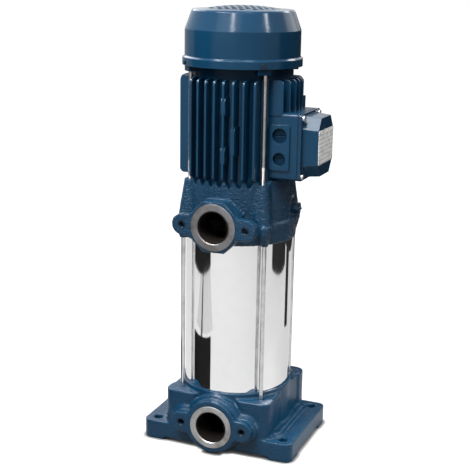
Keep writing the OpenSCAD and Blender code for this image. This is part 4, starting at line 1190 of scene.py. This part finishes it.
@dataclass
class Flag:
    """A dark panel that shows in polished metal, unseen by the camera and casting no shadow.

    Attributes:
        name: The panel's name.
        azimuth: Angle of its middle about the pump, from the photograph's azimuth, in degrees.
        distance: Distance from the shaft axis.
        width: Width of the panel.
        height: Height of the panel, or its length outwards where it lies on the floor.
        tone: Grey tone of the panel.
        lying: Height above the floor at which it lies flat, 0 for a standing panel.
    """

    name: str
    azimuth: float
    distance: float
    width: float
    height: float
    tone: float = 0.022
    lying: float = 0.0

    def build(self) -> None:
        """Stands the panel on the floor, facing the pump, or lays it on the floor."""
        a = math.radians(PHOTO_AZIMUTH + self.azimuth)
        away = Vector((math.sin(a), -math.cos(a), 0))
        along = Vector((math.cos(a), math.sin(a), 0))
        foot = away * self.distance + Vector((0, 0, self.lying))
        half = along * self.width / 2
        rise = away * self.height if self.lying else Vector((0, 0, self.height))
        mesh = bpy.data.meshes.new(self.name)
        corners = [foot - half, foot + half, foot + half + rise, foot - half + rise]
        mesh.from_pydata(corners, [], [(0, 1, 2, 3)])
        panel = placed(self.name, mesh)
        tree = Tree(f"{self.name}_cloth")
        tree.set(Base_Color=(self.tone,) * 3, Roughness=1.0, Specular_IOR_Level=0.0)
        dress(panel, tree.material)
        panel.visible_camera = False
        panel.visible_shadow = False


@dataclass
class Studio:
    """A plain pale studio: a floor, a white surround, soft lamps and dark panels.

    Attributes:
        floor_size: Half width of the floor.
        surround: Strength of the surround's light on the pump.
        floor_glow: Light that the camera sees from the floor, so that it melts into the surround.
        floor_mirrored: Share of that light that polished metal sees.
        floor_tone: Grey tone of the floor for the lamps' light.
        contact: Reach of the dark contact shadow on the floor.
        contact_power: Power that deepens the contact shadow.
        foot: Half width and half depth of the place where the pump stands.
        lamps: The lamps.
        flags: The dark panels.
    """

    floor_size: float = 14.0
    surround: float = 0.07
    floor_glow: float = 0.97
    floor_mirrored: float = 0.41
    floor_tone: float = 0.2
    contact: float = 6.0 * MM
    contact_power: float = 5.0
    foot: tuple[float, float] = (0.115, 0.1)
    lamps: tuple[Lamp, ...] = (
        Lamp("key", -2.0, 46.0, 1.6, (0.1, 0.25), 3.2),
        Lamp("fill", -4.0, 58.0, 2.0, (0.8, 0.8), 30.0),
        Lamp("side", 75.0, 44.0, 1.7, (0.1, 0.3), 6.0),
        Lamp("front", -12.0, 24.0, 3.0, (2.4, 2.4), 22.0),
        Lamp("edge", -25.0, 50.0, 1.9, (0.25, 0.25), 14.0),
        Lamp("top_left", -56.0, 61.0, 1.9, (0.35, 0.35), 22.0),
        Lamp("rim", 168.0, 40.0, 1.8, (1.0, 0.3), 7.0),
        Lamp("back", 232.0, 34.0, 2.6, (1.4, 1.4), 22.0),
        Lamp("right", 140.0, 18.0, 2.6, (1.4, 1.4), 12.0),
        Lamp("top_right", 40.0, 68.0, 1.8, (0.4, 0.4), 10.0),
        Lamp("low_right", 98.0, 22.0, 0.6, (0.3, 0.2), 0.25, 50.0, (0.1, 0.0, 0.03)),
    )
    flags: tuple[Flag, ...] = (
        Flag("low_left_panel", -74.0, 0.232, 0.185, 0.091),
        Flag("left_cloth", -74.0, 0.5, 0.4, 0.5, 0.3, 1.0 * MM),
        Flag("left_seam", -80.0, 0.3, 0.04, 0.7, 0.05, 2.0 * MM),
        Flag("far_left_panel", -83.7, 0.86, 0.73, 0.8),
        Flag("far_right_panel", 93.9, 0.86, 0.66, 0.56),
        Flag("right_wall", 140.0, 1.0, 1.5, 0.62),
        Flag("near_right_panel", 122.0, 0.5, 0.1, 0.35),
    )

    def build(self) -> None:
        """Makes the floor, the surround, the lamps and the panels."""
        for flag in self.flags:
            flag.build()
        for lamp in self.lamps:
            lamp.build()
        self.make_surround()
        self.make_floor()
        bpy.context.scene.view_settings.view_transform = "Standard"

    def make_surround(self) -> None:
        """A white surround: strength 1 to the camera and in reflections, dimmer as light."""
        world = bpy.data.worlds.new("surround")
        bpy.context.scene.world = world
        world.use_nodes = True
        nodes, links = world.node_tree.nodes, world.node_tree.links
        nodes.clear()
        path = nodes.new("ShaderNodeLightPath")
        seen = nodes.new("ShaderNodeMath")
        seen.operation = "MAXIMUM"
        links.new(path.outputs["Is Camera Ray"], seen.inputs[0])
        links.new(path.outputs["Is Glossy Ray"], seen.inputs[1])
        strength = nodes.new("ShaderNodeMapRange")
        strength.inputs["To Min"].default_value = self.surround
        strength.inputs["To Max"].default_value = 1.0
        links.new(seen.outputs[0], strength.inputs["Value"])
        light = nodes.new("ShaderNodeBackground")
        light.inputs["Color"].default_value = (1, 1, 1, 1)
        links.new(strength.outputs[0], light.inputs["Strength"])
        out = nodes.new("ShaderNodeOutputWorld")
        links.new(light.outputs[0], out.inputs["Surface"])

    def make_floor(self) -> None:
        """A pale floor that keeps the pump's shadow and melts into the white surround.

        The light that the camera sees from it is floor_glow * open share, where the open share is
        the ambient occlusion to the power contact_power, and 1 away from the pump's foot.
        """
        half = self.floor_size
        mesh = bpy.data.meshes.new("floor")
        corners = [(x * half, y * half, 0) for x, y in ((-1, -1), (1, -1), (1, 1), (-1, 1))]
        mesh.from_pydata(corners, [], [(0, 1, 2, 3)])
        floor = placed("floor", mesh)
        tree = Tree("floor_white")
        tree.set(Base_Color=(self.floor_tone,) * 3, Roughness=0.9, Specular_IOR_Level=0.05)
        path = tree.nodes.new("ShaderNodeLightPath")
        mirrored = tree.math("MULTIPLY", path.outputs["Is Glossy Ray"], self.floor_mirrored)
        seen = tree.math("MAXIMUM", path.outputs["Is Camera Ray"], mirrored)
        shelter = tree.nodes.new("ShaderNodeAmbientOcclusion")
        shelter.inputs["Distance"].default_value = self.contact
        clear = tree.math("POWER", shelter.outputs["AO"], self.contact_power)
        hidden = tree.math("SUBTRACT", 1.0, clear)
        at = tree.axes()
        near = [
            tree.ramp(tree.math("ABSOLUTE", at[axis]), reach, reach + self.contact, 1.0, 0.0)
            for axis, reach in zip("XY", self.foot)
        ]
        hidden = tree.math("MULTIPLY", hidden, tree.math("MULTIPLY", *near))
        open_share = tree.math("SUBTRACT", 1.0, hidden)
        tree.set(Emission_Color=(1.0, 1.0, 1.0))
        glow = tree.math("MULTIPLY", seen, self.floor_glow)
        tree.feed(Emission_Strength=tree.math("MULTIPLY", glow, open_share))
        dress(floor, tree.material)


def main() -> None:
    """Builds the pump's looks and its studio."""
    logging.basicConfig(level=logging.INFO, format="%(message)s")
    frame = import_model()
    finishes = {key: finish.build() for key, finish in FINISHES.items()}
    nodes = frame["nodes"]
    Construction(nodes, finishes).build()
    suction = Port("suction", SUCTION_HEIGHT, 29.2 * MM)
    suction.build(finishes["turned"], finishes)
    base = Casting("base_casting", suction, 1.4 * MM, ((14.0 * MM, 0.5 * MM),))
    base.build(nodes["base_casting"], finishes["base"])
    discharge = Port("discharge", DISCHARGE_HEIGHT, 30.4 * MM)
    discharge.build(finishes["turned_brown"], finishes)
    rough = ((8.0 * MM, 0.6 * MM), (4.0 * MM, 0.6 * MM))
    head = Casting("head_casting", discharge, 1.25 * MM, rough)
    head.build(nodes["head_casting"], finishes["head"])
    RodThreads().build(finishes["rod"])
    Camera().build()
    Studio().build()


if __name__ == "__main__":
    main()
